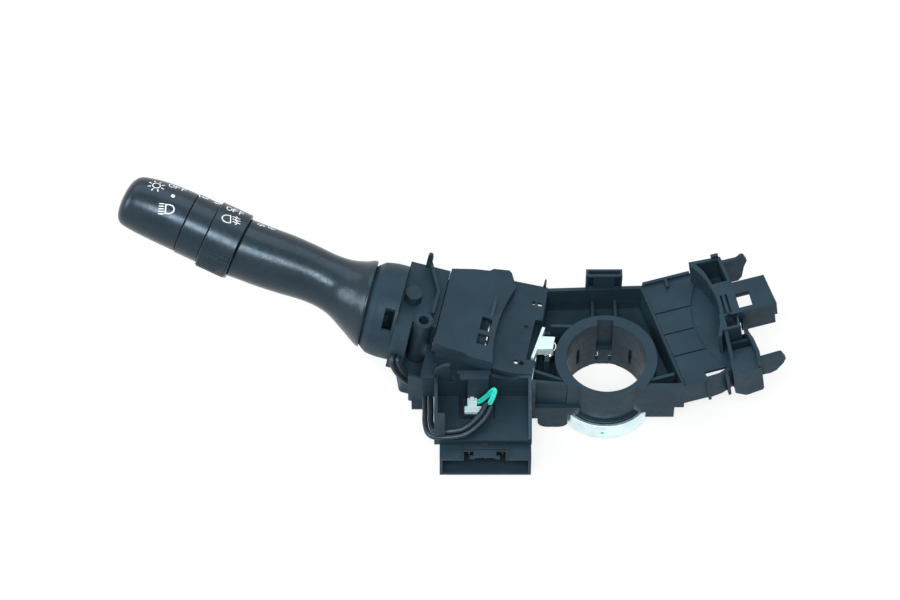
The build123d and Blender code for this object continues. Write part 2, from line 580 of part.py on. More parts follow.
# Top plate of the case, with the turned-up blade and the hole for the pivot peg
with BuildPart() as case_top_plate:
    prism(level(LEFT, case_rim), [(case_left, case_back + 0.4), (case_right, case_back + 0.4),
                                  (case_right, case_front), (case_nose_right, case_front),
                                  (case_nose_right, case_nose_front), (case_left, case_nose_front)], wall)
    blade = [(-67.9, 27.4), (-60.4, 10.9), (-60.6, -2.6)]
    prism(level(LEFT, plate_top), blade + [(x + 1.6, y) for x, y in reversed(blade)], 5.0)
    with BuildSketch(facing(LEFT, 27.4)) as blade_tip:
        with BuildLine():
            Polyline((-69.0, case_rim), (-69.0, 14.0), (-68.6, 17.0), (-66.8, 17.0), (-66.2, 14.0),
                     (-66.2, case_rim), close=True)
        make_face()
        fillet(blade_tip.vertices().group_by(Axis.Z)[-1], 0.8)
    extrude(blade_tip.sketch, amount=wall)
    rod(level(LEFT, case_rim - 1), pivot_x, pivot_y, peg_radius + run_gap, wall + 2, Mode.SUBTRACT)
    rod(level(LEFT, case_rim - 1), boss_x, boss_y, boss_radius + seat_gap, wall + 2, Mode.SUBTRACT)
save(case_top_plate, "case_top_plate")

# Neck hood: round shroud whose dome is centred on the lever's pivot
with BuildPart() as neck_hood:
    inner_end = hood_end - wall
    with BuildSketch(facing(NECK)) as hood_section:
        with BuildLine():
            Polyline((hood_radius - wall, hood_start), (hood_radius, hood_start), (hood_radius, dome_start))
            RadiusArc((hood_radius, dome_start), (hood_face_radius, hood_end), -dome_radius)
            Polyline((hood_face_radius, hood_end), (hood_mouth, hood_end), (hood_mouth, inner_end),
                     (hood_face_radius - 0.8, inner_end), (hood_radius - 4.0, dome_start + 6.5),
                     (hood_radius - wall, dome_start), (hood_radius - wall, hood_start))
        make_face()
    revolve(hood_section.sketch, axis=Axis(NECK.origin, NECK.z_dir))
    slab(LEFT, (case_left - 6.5, case_left - 1.5), (pivot_y - 29.7, pivot_y - 12.2), (1.0, 14.0), Mode.SUBTRACT)
save(neck_hood, "neck_hood")

# Switch cover over the left tray: thin shell with a swept edge, snap windows and a stop blade
def cover_outline(inset):
    """Outline of the cover; the right edge is an arc round the column."""
    left = case_right + body_gap + inset
    with BuildLine() as outline:
        Polyline((-22.1 - inset, 25.3), (-26.0 - inset / 2, 33.2 - inset), (-27.6, 34.4 - inset),
                 (-35.5, 33.0 - inset), (-37.0, 31.4 - inset), (-44.6, 30.1 - inset), (left, 27.0 - inset),
                 (left, -17.6 + inset), (-49.2, -19.7 + inset), (-41.0, -19.8 + inset), (-36.7, -21.4 + inset),
                 (-25.0 - inset, -21.6 + inset))
        ThreePointArc((-25.0 - inset, -21.6 + inset), (-26.9 - inset, 2.0), (-22.1 - inset, 25.3))
    return outline.line


with BuildPart() as switch_cover:
    with BuildSketch(level(LEFT, 0.0)) as cover_section:
        make_face(cover_outline(0.0))
    extrude(cover_section.sketch, amount=cover_top)
    with BuildSketch(level(LEFT, 0.0)) as cover_inside:
        make_face(cover_outline(wall))
    extrude(cover_inside.sketch, amount=cover_top - wall, mode=Mode.SUBTRACT)
    for screw_x, screw_y in ((-44.0, 25.0), (-44.0, -13.0)):
        rod(LEFT, screw_x, screw_y, 3.4, cover_top - 1)
        rod(LEFT, screw_x, screw_y, screw_radius + seat_gap, 5.0, Mode.SUBTRACT)
    slab(LEFT, (case_right - 1, case_right + 4), (pivot_y - 9.0, pivot_y + 9.0), (0.0, 4.0), Mode.SUBTRACT)
    slab(LEFT, (-35.3, -30.0), (-4.2, 3.6), (cover_top - wall - 1, cover_top + 1), Mode.SUBTRACT)
    slab(LEFT, (-35.3, -29.4), (-12.6, -6.6), (cover_top - wall - 1, cover_top + 1), Mode.SUBTRACT)
    prism(across(LEFT, -31.6), [(3.4, cover_top - 1), (14.0, cover_top - 1), (12.8, cover_top + 5.4),
                                (11.2, cover_top + 5.4)], thin_wall)
save(switch_cover, "switch_cover")

with BuildPart() as module_screws:
    for screw_x, screw_y in ((-44.0, 25.0), (-44.0, -13.0)):
        rod(level(LEFT, -tray_floor - 2.0), screw_x, screw_y, screw_head_radius, 2.0)
        rod(level(LEFT, -tray_floor), screw_x, screw_y, screw_radius, tray_floor + 4.5)
save(module_screws, "module_screws")

# Contact board in the foot of the case
with BuildPart() as turn_contact_board:
    slab(LEFT, (case_left + wall + body_gap, case_right - wall - body_gap),
         (case_front + wall + body_gap, case_back - wall - body_gap), (board_seat, board_seat + board_thickness))
    rod(level(LEFT, board_seat - 1), pivot_x, pivot_y, journal_radius + 2.0 + seat_gap, 4.0, Mode.SUBTRACT)
save(turn_contact_board, "turn_contact_board")

# Turn carrier: yoke that swivels in the case and carries the lever's rocking pin
cheek_out = cheek_half_gap + cheek_wall
with BuildPart() as turn_carrier:
    for side in (-1, 1):
        limits = sorted((pivot_y + side * cheek_half_gap, pivot_y + side * cheek_out))
        slab(LEFT, (pivot_x - 8.0, pivot_x + 8.0), limits, (carrier_foot, carrier_top))
    slab(LEFT, (pivot_x - 8.0, pivot_x + 8.0), (pivot_y - cheek_out, pivot_y + cheek_out), (arm_foot, carrier_top))
    slab(LEFT, (pivot_x - 8.0, pivot_x + 8.0), (pivot_y - cheek_out, pivot_y + cheek_out),
         (carrier_foot, carrier_foot + 2.0))
    rod(level(LEFT, carrier_top), pivot_x, pivot_y, peg_radius, plate_top + peg_height - carrier_top)
    rod(level(LEFT, carrier_foot), pivot_x, pivot_y, journal_radius, -6.0)
    # arm under the cover, with the three detent notches on its end
    prism(level(LEFT, arm_foot), [(pivot_x + 7.0, pivot_y - 5.0), (-40.0, pivot_y - 3.4), (-36.0, pivot_y - 9.0),
                                  (-34.6, pivot_y - 9.0), (-33.4, pivot_y), (-34.6, pivot_y + 9.0),
                                  (-36.0, pivot_y + 9.0), (-40.0, pivot_y + 3.4), (pivot_x + 7.0, pivot_y + 5.0)],
          carrier_top - arm_foot)
    for notch_y in (-5.9, 0.0, 5.9):
        rod(level(LEFT, arm_foot - 1), -33.0, pivot_y + notch_y, 1.5, 5.0, Mode.SUBTRACT)
    rod(facing(LEFT, pivot_y + 20.0), pivot_x, pivot_z, rock_pin_radius + seat_gap, 40.0, Mode.SUBTRACT)
save(turn_carrier, "turn_carrier")

with BuildPart() as rock_pin:
    rod(facing(LEFT, pivot_y + cheek_out), pivot_x, pivot_z, rock_pin_radius, 2 * cheek_out)
save(rock_pin, "rock_pin")

with BuildPart() as turn_wiper:
    slab(LEFT, (pivot_x + 6.2, pivot_x + 8.0), (pivot_y - 8.0, pivot_y + 8.0), (carrier_foot - 0.8, carrier_foot))
    for finger_y in (-7.0, -0.6, 5.8):
        slab(LEFT, (pivot_x + 7.4, pivot_x + 8.0), (pivot_y + finger_y, pivot_y + finger_y + 1.2),
             (board_seat + board_thickness + body_gap, carrier_foot))
save(turn_wiper, "turn_wiper")

# Detent leaf under the cover: sprung strip whose nose rests in the arm's middle notch
with BuildPart() as turn_detent_leaf:
    with BuildSketch(level(LEFT, 0.6)) as leaf:
        with BuildLine():
            Polyline((-30.6, -14.0), (-30.0, -14.0), (-30.4, pivot_y - 2.6), (-33.4, pivot_y),
                     (-30.4, pivot_y + 2.6), (-28.4, 22.0), (-29.0, 22.0), (-31.0, pivot_y + 2.9),
                     (-34.2, pivot_y), (-31.0, pivot_y - 2.9), close=True)
        make_face()
    extrude(leaf.sketch, amount=2.6)
    rod(level(LEFT, 0.0), -30.6, -14.4, 1.3, cover_top - wall)
    rod(level(LEFT, 0.0), -28.9, 22.4, 1.3, cover_top - wall)
save(turn_detent_leaf, "turn_detent_leaf")

# Dimmer leaf on the carrier, under the lever's pivot block
with BuildPart() as dimmer_contact_leaf:
    prism(facing(LEFT, pivot_y + 2.0), [(pivot_x - 6.0, -23.0), (pivot_x + 6.0, -23.0), (pivot_x + 7.0, -20.6),
                                        (pivot_x + 6.4, -20.4), (pivot_x + 5.4, -22.4), (pivot_x - 6.0, -22.4)],
          4.0)
save(dimmer_contact_leaf, "dimmer_contact_leaf")

# Lever core: pivot block and bent tube that carries everything on the lever
block_radius = 8.0
block_half = cheek_half_gap - body_gap
core_end = 68.0
with BuildPart() as lever_core:
    with BuildSketch(facing(LEFT, pivot_y + block_half)) as block:
        with Locations((pivot_x, pivot_z)):
            Circle(block_radius)
        with Locations((pivot_x - 6.0, pivot_z)):
            Rectangle(12.0, 2 * block_radius - 2.0)
        with Locations((pivot_x + 9.0, pivot_z)):
            Rectangle(4.0, 4.0)
    extrude(block.sketch, amount=2 * block_half)
    rod(level(NECK, 9.8), 0, 0, core_radius, bell_offset - 9.8)
    rod(HANDLE, 0, 0, core_radius, core_end)
    add(Sphere(core_radius, mode=Mode.PRIVATE).moved(Location(bell_centre)))
    rod(level(NECK, 12.5), 0, 0, core_bore, bell_offset - 12.5, Mode.SUBTRACT)
    rod(HANDLE, 0, 0, core_bore, core_end, Mode.SUBTRACT)
    add(Sphere(core_bore, mode=Mode.PRIVATE).moved(Location(bell_centre)), mode=Mode.SUBTRACT)
    rod(facing(LEFT, pivot_y + 20.0), pivot_x, pivot_z, rock_pin_radius + run_gap, 40.0, Mode.SUBTRACT)
save(lever_core, "lever_core")

# Lever shell: lofted bell and grip; evenly spaced stations hold radius, bow and share of the bend
stations = [(21.4, 0.0, 0.0), (16.7, 1.5, 0.78), (13.7, 2.2, 1.0), (13.5, 1.6, 1.0), (14.3, 1.0, 1.0),
            (14.9, 0.5, 1.0), (15.4, 0.0, 1.0)]
shell_length = ring_start - body_gap
station_pitch = shell_length / (len(stations) - 1)
bow_dir = Vector(0, 1, 0)


def shell_sections(inset):
    """Circles along the lever that turn from the neck's axis to the handle's."""
    sections = []
    for index, (radius, bow, share) in enumerate(stations):
        normal = (NECK.z_dir * (1 - share) + handle_dir * share).normalized()
        centre = bell_centre + handle_dir * station_pitch * index + bow_dir * bow
        with BuildSketch(Plane(origin=centre, x_dir=HANDLE.y_dir.cross(normal), z_dir=normal)) as section:
            Circle(radius - inset)
        sections.append(section.sketch)
    return sections


with BuildPart() as lever_shell:
    loft(shell_sections(0.0), ruled=True)
    loft(shell_sections(shell_wall), ruled=True, mode=Mode.SUBTRACT)
    rod(level(HANDLE, 2 * station_pitch), 0, 1.4, 11.6, 2.0)
    rod(level(HANDLE, shell_length - 2.4), 0, 0, 14.6, 2.4)
    rod(HANDLE, 0, 0, core_radius + seat_gap, ring_start + 1, Mode.SUBTRACT)
save(lever_shell, "lever_shell")

# Fixed contact block inside the core
with BuildPart() as lever_contact_block:
    rod(level(HANDLE, 30.0), 0, 0, core_bore - seat_gap, 4.0)
save(lever_contact_block, "lever_contact_block")

# Marker ring and its stem, fixed to the core
with BuildPart() as marker_ring:
    turned(HANDLE, [(shaft_radius + run_gap, 40.0), (core_bore - seat_gap, 40.0), (core_bore - seat_gap, 46.0),
                    (stem_radius, 46.0), (stem_radius, ring_end + body_gap), (marker_radius, ring_end + body_gap),
                    (marker_radius, marker_end), (shaft_radius + run_gap, marker_end)])
    turned(HANDLE, [(stem_radius + 2.0, ring_end + body_gap + 2.0), (marker_radius - wall, ring_end + body_gap + 2.0),
                    (marker_radius - wall, marker_end), (stem_radius + 2.0, marker_end)], Mode.SUBTRACT)
save(marker_ring, "marker_ring")

# Fog lamp ring with its grip, and the sleeve that turns inside the core
sleeve_bore = stem_radius + run_gap
with BuildPart() as fog_ring:
    turned(HANDLE, [(sleeve_radius, ring_start + 4.0), (ring_radius, ring_start + 4.0),
                    (ring_radius, ring_end), (ring_radius - wall, ring_end), (ring_radius - wall, ring_start + 6.0),
                    (sleeve_radius, ring_start + 6.0)])
    turned(HANDLE, [(ring_radius - wall, ring_start), (ring_radius, ring_start), (ring_radius, ring_start + 5.0),
                    (ring_radius - wall, ring_start + 5.0)])
    grip = Plane(origin=HANDLE.from_local_coords((0, 0, ring_start + 1.0)), x_dir=HANDLE.y_dir,
                 z_dir=HANDLE.z_dir)
    ring_sector(grip, (0, 0), (ring_radius - 0.5, ring_radius + 1.4), (170.0, 215.0), ring_end - ring_start - 2.0)
    rims = fog_ring.edges().filter_by(GeomType.CIRCLE).filter_by(lambda e: e.is_closed)
    chamfer(rims.filter_by(lambda e: abs(e.radius - ring_radius) < 0.01), 0.4)
save(fog_ring, "fog_ring")

with BuildPart() as fog_sleeve:
    turned(HANDLE, [(sleeve_bore, 50.0), (sleeve_radius, 50.0), (sleeve_radius, ring_end - 1.0),
                    (sleeve_bore, ring_end - 1.0)])
save(fog_sleeve, "fog_sleeve")

with BuildPart() as fog_wiper:
    turned(HANDLE, [(sleeve_bore, 48.6), (sleeve_radius - 0.4, 48.6), (sleeve_radius - 0.4, 50.0),
                    (sleeve_bore, 50.0)])
save(fog_wiper, "fog_wiper")

# End knob and the shaft through the lever
with BuildPart() as end_knob:
    turned(HANDLE, [(shaft_radius + seat_gap, knob_start + 3.0), (6.0, knob_start + 3.0), (6.0, knob_end - 3.0),
                    (knob_tip_radius - 3.6, knob_end - 3.2), (knob_radius - wall, knob_start),
                    (knob_radius, knob_start), (knob_radius, knob_start + 8.0),
                    (knob_radius - 0.8, knob_start + 22.0), (knob_tip_radius, knob_end - 4.4),
                    (knob_tip_radius - 1.2, knob_end - 1.9), (knob_tip_radius - 3.6, knob_end - 0.6),
                    (0, knob_end), (0, knob_end - 4.0), (shaft_radius + seat_gap, knob_end - 4.0)])
save(end_knob, "end_knob")

with BuildPart() as knob_shaft:
    rod(level(HANDLE, 36.0), 0, 0, shaft_radius, knob_end - 4.0 - 36.0)
save(knob_shaft, "knob_shaft")

with BuildPart() as knob_wiper:
    turned(HANDLE, [(0, 34.6), (core_bore - 1.0, 34.6), (core_bore - 1.0, 35.4), (3.6, 36.0), (0, 36.0)])
save(knob_wiper, "knob_wiper")

# Cancelling pawl on its pin, with the coil that brings it back
with BuildPart() as cancel_pawl:
    prism(Plane.XY.offset(pawl_foot), [(-30.2, 18.8), (-31.6, 19.3), (-37.6, 0.9), (-36.2, 0.4), (-34.4, 5.8),
                                       (-26.6, 6.0), (-25.4, 13.2), (-31.9, 13.6)],
          pawl_top - pawl_foot)
    rod(Plane.XY.offset(pawl_foot), *pawl_pivot, pawl_pin_radius + run_gap, 3.8, Mode.SUBTRACT)
save(cancel_pawl, "cancel_pawl")

with BuildPart() as pawl_pin:
    rod(Plane.XY.offset(well_floor_z + 2), *pawl_pivot, pawl_pin_radius, pawl_foot + 3.5 - well_floor_z - 2)
save(pawl_pin, "pawl_pin")

coil_wire = 0.3
coil_rise = 0.45
with BuildPart() as pawl_spring:
    coil_rim = [(pawl_hub + 0.2 + 0.6 * (turn % 2), pawl_foot - 0.4 - turn * coil_rise) for turn in range(9)]
    turned(Plane(origin=(*pawl_pivot, 0)), coil_rim + [(r + coil_wire, z) for r, z in reversed(coil_rim)])
save(pawl_spring, "pawl_spring")


# Lead: black sheath from the case round the post, then two green wires to the plug
def in_left(*point):
    """A point of the left tray's axes as a vector."""
    return LEFT.from_local_coords(point)


sheath_end = Vector(-58.6, -21.9, 27.0)
sheath_route = [
    in_left(lead_outlet[0], case_nose_front, lead_outlet[1]), in_left(-72.4, -22.2, -12.6),
    in_left(-69.8, -22.2, -18.4), in_left(-64.6, -21.9, -25.4), in_left(-59.0, -21.9, -27.0),
    in_left(-53.1, -21.9, -27.2), Vector(-89.5, -11.4, 16.1), Vector(-89.4, -18.6, 16.6), Vector(-89.2, -27.2, 17.6),
    Vector(-87.2, -34.4, 20.0), Vector(-80.6, -36.0, 21.4), Vector(-71.0, -34.8, 22.4), Vector(-62.6, -28.4, 24.8),
    sheath_end]
end_dir = (sheath_end - sheath_route[-2]).normalized()
end_side = Vector(end_dir.Y, -end_dir.X, 0).normalized()
with BuildPart() as lead_sheath:
    pipe(sheath_route, sheath_radius, 0.45)
save(lead_sheath, "lead_sheath")

# the wires leave the plug one above the other and end side by side in the sheath
wire_loop = [Vector(-60.4, -17.0, 27.0), Vector(-56.8, -17.6, 34.4), Vector(-55.6, -18.8, 34.4),
             Vector(-57.0, -20.4, 30.4)]
with BuildPart() as aux_wires:
    for turn_side in (-1, 1):
        shift = Vector(0, -turn_side * (wire_radius + 0.1), 0)
        start = Vector(-64.6, -16.9, 21.0) + shift
        route = [start, start + Vector(2.0, 0, 0)] + [point + shift for point in wire_loop]
        finish = sheath_end + end_side * turn_side * (wire_radius + 0.1)
        pipe(route + [finish + end_dir * 2.0, finish], wire_radius, 0.45)
save(aux_wires, "aux_wires")
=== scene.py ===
"""Looks of the combination stalk switch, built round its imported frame."""

import json
import math

import bmesh
import bpy
from mathutils import Matrix, Vector


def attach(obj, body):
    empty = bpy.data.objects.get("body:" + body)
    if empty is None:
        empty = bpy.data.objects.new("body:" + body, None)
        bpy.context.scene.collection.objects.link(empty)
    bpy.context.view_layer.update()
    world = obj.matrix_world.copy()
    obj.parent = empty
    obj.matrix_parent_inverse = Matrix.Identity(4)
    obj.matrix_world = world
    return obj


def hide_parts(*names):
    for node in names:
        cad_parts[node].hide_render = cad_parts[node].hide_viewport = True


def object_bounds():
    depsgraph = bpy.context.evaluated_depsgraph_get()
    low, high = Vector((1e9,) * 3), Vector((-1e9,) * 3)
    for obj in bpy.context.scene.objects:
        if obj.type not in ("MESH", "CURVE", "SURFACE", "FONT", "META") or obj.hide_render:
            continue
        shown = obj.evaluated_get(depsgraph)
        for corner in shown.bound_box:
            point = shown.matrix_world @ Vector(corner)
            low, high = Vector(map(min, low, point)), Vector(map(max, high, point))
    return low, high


bl_info = {
    "name": "Combination Stalk Switch",
    "version": (1, 0, 0),
    "blender": (4, 5, 0),
    "location": "3D View > Sidebar > Stalk Switch",
    "description": "Dresses the switch's frame with moulded edges, finishes, marks and small parts",
    "category": "Object",
}

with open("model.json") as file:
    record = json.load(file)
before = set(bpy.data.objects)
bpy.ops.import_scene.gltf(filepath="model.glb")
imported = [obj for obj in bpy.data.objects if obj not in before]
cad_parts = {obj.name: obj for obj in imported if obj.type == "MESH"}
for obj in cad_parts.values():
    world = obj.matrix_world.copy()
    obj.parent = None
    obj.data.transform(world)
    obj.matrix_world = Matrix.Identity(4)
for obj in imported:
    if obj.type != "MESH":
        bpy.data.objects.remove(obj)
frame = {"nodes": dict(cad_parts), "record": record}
CAD_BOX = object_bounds()

# The bodies of the frame that the pieces ride on
BRACKET = "switch_body"
SWIVEL = "turn_swivel_body"
LEVER = "lever_body"
FOG_RING = "fog_ring_body"
KNOB = "end_knob_body"

MM = 0.001

# Tray and handle axes of the switch, as unit vectors of the frame
TRAY_SWEEP = math.radians(11.7)
TRAY_RISE = math.radians(7.8)
HANDLE_SWEEP = math.radians(20.9)
HANDLE_RISE = math.radians(13.5)
PIVOT = Vector((-71.2, 5.7, -11.0))
BELL_OFFSET = 24.0


def direction(side, sweep, rise):
    """Unit vector outwards along a tray or the handle."""
    return Vector((side * math.cos(rise) * math.cos(sweep), math.cos(rise) * math.sin(sweep), math.sin(rise)))


def axes(x_dir, y_dir, z_dir, origin):
    """Matrix that takes millimetres of a set of axes to metres of the frame."""
    turn = Matrix((x_dir, y_dir, z_dir)).transposed().to_4x4()
    return Matrix.Translation(origin * MM) @ turn @ Matrix.Scale(MM, 4)


def tray_axes(side):
    """Axes of a tray: x across the car, y away from the camera side, z up."""
    x_dir = direction(side, TRAY_SWEEP, TRAY_RISE) * side
    y_dir = Vector((0, 0, 1)).cross(x_dir).normalized()
    return axes(x_dir, y_dir, x_dir.cross(y_dir), Vector((side * 29.4, 6.1, 36.0)))


WORLD = Matrix.Scale(MM, 4)
LEFT = tray_axes(-1)
NECK_DIR = -(LEFT.to_3x3() @ Vector((1, 0, 0))).normalized()
BELL_CENTRE = (LEFT @ PIVOT) / MM + NECK_DIR * BELL_OFFSET
HANDLE_DIR = direction(-1, HANDLE_SWEEP, HANDLE_RISE)
HANDLE_UP = (Vector((0, 0, 1)) - HANDLE_DIR * HANDLE_DIR.z).normalized()
HANDLE = axes(HANDLE_UP, HANDLE_DIR.cross(HANDLE_UP), HANDLE_DIR, BELL_CENTRE)


# Profile of the end knob as (radius, distance along the handle), from its tip to its seam
KNOB_PROFILE = [(0.0, 132.9), (4.5, 132.7), (8.8, 131.8), (11.3, 130.4), (12.8, 128.6), (13.6, 126.2), (14.3, 122.0),
                (14.8, 118.0), (15.25, 112.0), (15.5, 106.0), (15.6, 100.0), (15.6, 98.2)]
KNOB_SEAM = [(15.3, 97.85), (12.5, 97.85), (12.5, 100.0), (0.0, 100.0)]
KNOB_STEPS = 5
# How far the knob's nose hangs forwards, where that starts and over which length
KNOB_DROOP, DROOP_START, DROOP_REACH = 2.2, 100.0, 32.0
# Lever grip: radius, bow to the back, share of the bend and set-back, at even steps from the bell to the fog ring
GRIP_STATIONS = [(22.4, 0.8, 0.0, 2.6), (18.4, 2.4, 0.55, 2.6), (15.0, 3.8, 0.95, 2.0), (14.0, 4.0, 1.0, 1.2),
                 (14.3, 3.8, 1.0, 0.6), (14.9, 3.0, 1.0, 0.0), (15.3, 2.2, 1.0, 0.0), (15.4, 1.3, 1.0, 0.0),
                 (15.4, 0.6, 1.0, 0.0), (15.5, 0.0, 1.0, 0.0)]
GRIP_LENGTH = 68.4
GRIP_WALL = 1.9
GRIP_STEPS = 60
ROUND_SIDES = 96
# The grip's edges: insets and sink of the bell's lip, and start and inset of the edge at the fog ring
LIP_INSETS, LIP_SINK = (0.55, 0.12), 0.12
EDGE_START, EDGE_INSET = 0.9975, 0.35
# The hood's profile along the neck: where the dome starts, its ridge and its end, and how far both are drawn out
HOOD_DOME, HOOD_RIDGE, HOOD_END = 11.0, 17.2, 22.0
HOOD_LIFT, HOOD_REACH = 1.2, 2.0
HOOD_BORE, HOOD_SKIN = 13.0, 15.0
# Radii of the two rings, here and in the frame, and the radius past which a ring's points move
MARKER_RADIUS, MARKER_SOLID, MARKER_BORE = 16.0, 15.7, 15.0
FOG_RADIUS, FOG_SOLID, FOG_BORE = 17.4, 17.0, 16.0
# Ridges on the fog ring's pad: ends of the first one, width, foot and top, number and step
PAD_RIDGE = [(-7.6, -5.4), (-2.4, 5.0)]
RIDGE_WIDTH, RIDGE_FOOT, RIDGE_TOP = 0.5, -0.3, 0.32
RIDGE_COUNT, RIDGE_STEP = 10, 1.05
PAD_RISE, PAD_LEVEL, PAD_ANGLE = 1.4, 76.9, -77.5
# Prints: tilt of the pictograms and the letters, depth below the skin, and overlap and step of the lines
PRINT_TILT, LETTER_TILT, ARROW_TILT = 20.0, 6.0, 8.0
PRINT_DEPTH = 0.05
LINE_OVERLAP, LINE_STEP = 0.4, 0.7

# The lead's points in millimetres: those on the left tray's axes, those on the frame's, and those of its wires
LEAD_START = ((-72.6, -17.5, -12.0), (-72.4, -21.6, -12.8), (-69.8, -22.4, -18.4), (-64.6, -22.0, -25.2),
              (-59.0, -21.9, -27.0), (-53.1, -21.9, -27.2))
LEAD_REST = ((-89.2, -11.4, 16.1), (-89.1, -18.6, 16.6), (-89.0, -27.2, 17.6), (-87.0, -34.2, 20.0),
             (-80.6, -36.0, 21.4), (-71.0, -34.8, 22.4), (-62.6, -28.4, 24.8), (-58.6, -21.9, 27.0))
WIRE_ROUTE = ((-64.6, -16.9, 21.4), (-62.4, -17.0, 23.2), (-59.2, -17.4, 28.6), (-56.6, -17.9, 34.0),
              (-55.9, -18.8, 33.8), (-57.2, -20.7, 30.0), (-58.8, -22.2, 26.8))
LEAD_RADIUS, LEAD_APART = 1.42, 1.46
WIRE_RADIUS, WIRE_APART = 0.66, 0.64
STRAND_STEPS, STRAND_SIDES = 8, 14
STRAND_UP = Vector((0.0, -0.56, 0.83))

# Boxes of the webs and ribs: axes, then the ranges along x, y and z in millimetres
INNER_WEBS = ((LEFT, (-37.5, -26.8), (-14.4, 8.6), (1.0, 1.6)),
              (LEFT, (-56.1, -53.9), (-17.4, 30.5), (-1.9, -1.3)),
              (LEFT, (-58.4, -51.4), (-28.6, -10.0), (-8.4, -7.8)),
              (LEFT, (-46.0, -40.0), (-27.0, -21.0), (-8.4, -7.8)),
              (LEFT, (-12.0, -5.0), (-20.0, 22.0), (-10.0, -9.4)),
              (WORLD, (-76.0, -50.0), (-15.0, -8.6), (13.6, 14.2)))
SOCKET_RIBS = ((WORLD, (-73.2, -72.5), (-45.6, -38.6), (14.9, 15.8)),
               (WORLD, (-49.6, -48.9), (-45.6, -38.6), (14.9, 15.8)),
               (WORLD, (-73.2, -48.9), (-41.0, -40.4), (14.9, 15.6)))
SOCKET_TIE = ((WORLD, (-74.1, -48.2), (-37.6, -37.1), (15.0, 15.5)),
              (WORLD, (-62.4, -59.4), (-38.7, -37.1), (15.0, 15.9)))
# Webs in the collar: the angle they lie either side of, radii, angles away from it, and heights
COLLAR_WEBS = ((90, (20.2, 22.9), (11.8, 21.5), (0.1, 11.1)),
               (90, (20.2, 22.9), (6.5, 11.8), (0.1, 3.4)),
               (-90, (20.4, 23.0), (32.5, 39.5), (0.5, 10.0)))
# Crossed recesses of the two case screws, drawn as thin dark crosses of painted shade: centres on the left tray's
# axes, half length and half width, and heights
SCREWS = ((-44.0, 25.0), (-44.0, -13.0))
RECESS_LONG, RECESS_SHORT, RECESS_HEIGHTS = 1.5, 0.3, (-4.06, -3.6)
# Paint dot on the clamp: its radius, foot and top, then the clamp's radius, and the dot's level and angle
DOT_RADIUS, DOT_FOOT, DOT_TOP = 0.9, -0.03, 0.04
CLAMP_RADIUS, DOT_LEVEL, DOT_ANGLE = 25.0, 5.0, -93.4

# Stage, in metres: name, place and size of each lamp and its share of the key light's power
LAMPS = (("key", (-0.15, -1.08, 1.88), (1.3, 0.62), 1.0),
         ("side", (-1.5, -0.2, 0.9), (0.8, 0.8), 0.32),
         ("back", (0.0, 1.15, 1.55), (2.4, 1.3), 0.36))
LAMP_AIM = Vector((-0.07, 0.02, 0.04))
FLOOR_REACH = 6.0
# Share of plain white that the floor shows; the rest takes the shadow
FLOOR_WHITE = 0.8
SKY_COLOUR = (0.93, 0.97, 1.0)
CAMERA_PLACE, CAMERA_TILT, CAMERA_LENS = (-0.0781, -0.9546, 1.5030), 34.0, 140.0


def knob_radius(level):
    """Radius of the knob at a distance along the handle."""
    for (near, high), (far, low) in zip(KNOB_PROFILE, KNOB_PROFILE[1:]):
        if low <= level <= high:
            return near + (far - near) * (high - level) / (high - low)
    return KNOB_PROFILE[-1][0]


def knob_bow(level):
    """How far the knob's nose hangs forwards at a distance along the handle."""
    return -KNOB_DROOP * max(0.0, (level - DROOP_START) / DROOP_REACH) ** 2


def grip_radius(level):
    """Radius of the grip at a distance along the handle."""
    return eased(GRIP_STATIONS, level / GRIP_LENGTH * (len(GRIP_STATIONS) - 1))[0]


def grip_bow(level):
    """Bow of the grip to the back at a distance along the handle."""
    return eased(GRIP_STATIONS, level / GRIP_LENGTH * (len(GRIP_STATIONS) - 1))[1]


def marker_radius(level):
    """Radius of the marker ring, the same all along."""
    return MARKER_RADIUS


def fog_radius(level):
    """Radius of the fog ring, the same all along."""
    return FOG_RADIUS


# Node materials

SHEEN_TINT = (0.62, 0.82, 1.0, 1.0)
COAT_ROUGHNESS = 0.2
NYLON_COLOUR = (0.54, 0.70, 0.72)
BRASS_COLOUR = (0.62, 0.42, 0.22)
STEEL_COLOUR = (0.62, 0.65, 0.67)
GREY_COLOUR = (0.16, 0.17, 0.18)
BOARD_COLOUR = (0.007, 0.008, 0.009)
PRINT_COLOUR = (0.86, 0.90, 0.92)
RESIN_COLOUR = (0.045, 0.022, 0.015)
PAINT_COLOUR = (0.02, 0.62, 0.50)


def new_material(name, colour, roughness, metallic=0.0, specular=0.5, coat=0.0):
    """Material with a plain shader; the pattern nodes are wired to it by the callers."""
    material = bpy.data.materials.new(name)
    material.use_nodes = True
    shader = material.node_tree.nodes["Principled BSDF"]
    shader.inputs["Base Color"].default_value = (*colour, 1.0)
    shader.inputs["Roughness"].default_value = roughness
    shader.inputs["Metallic"].default_value = metallic
    shader.inputs["Specular IOR Level"].default_value = specular
    if not metallic:
        shader.inputs["Specular Tint"].default_value = SHEEN_TINT
    shader.inputs["Coat Weight"].default_value = coat
    shader.inputs["Coat Roughness"].default_value = COAT_ROUGHNESS
    return material, material.node_tree, shader


def noise(tree, scale, detail=3.0, stretch=(1.0, 1.0, 1.0)):
    """Noise on the piece's own coordinates; scale counts cells per millimetre."""
    where = tree.nodes.new("ShaderNodeTexCoord")
    mapping = tree.nodes.new("ShaderNodeMapping")
    mapping.inputs["Scale"].default_value = [scale / MM * s for s in stretch]
    tree.links.new(where.outputs["Object"], mapping.inputs["Vector"])
    texture = tree.nodes.new("ShaderNodeTexNoise")
    texture.inputs["Scale"].default_value = 1.0
    texture.inputs["Detail"].default_value = detail
    tree.links.new(mapping.outputs["Vector"], texture.inputs["Vector"])
    return texture.outputs["Fac"]


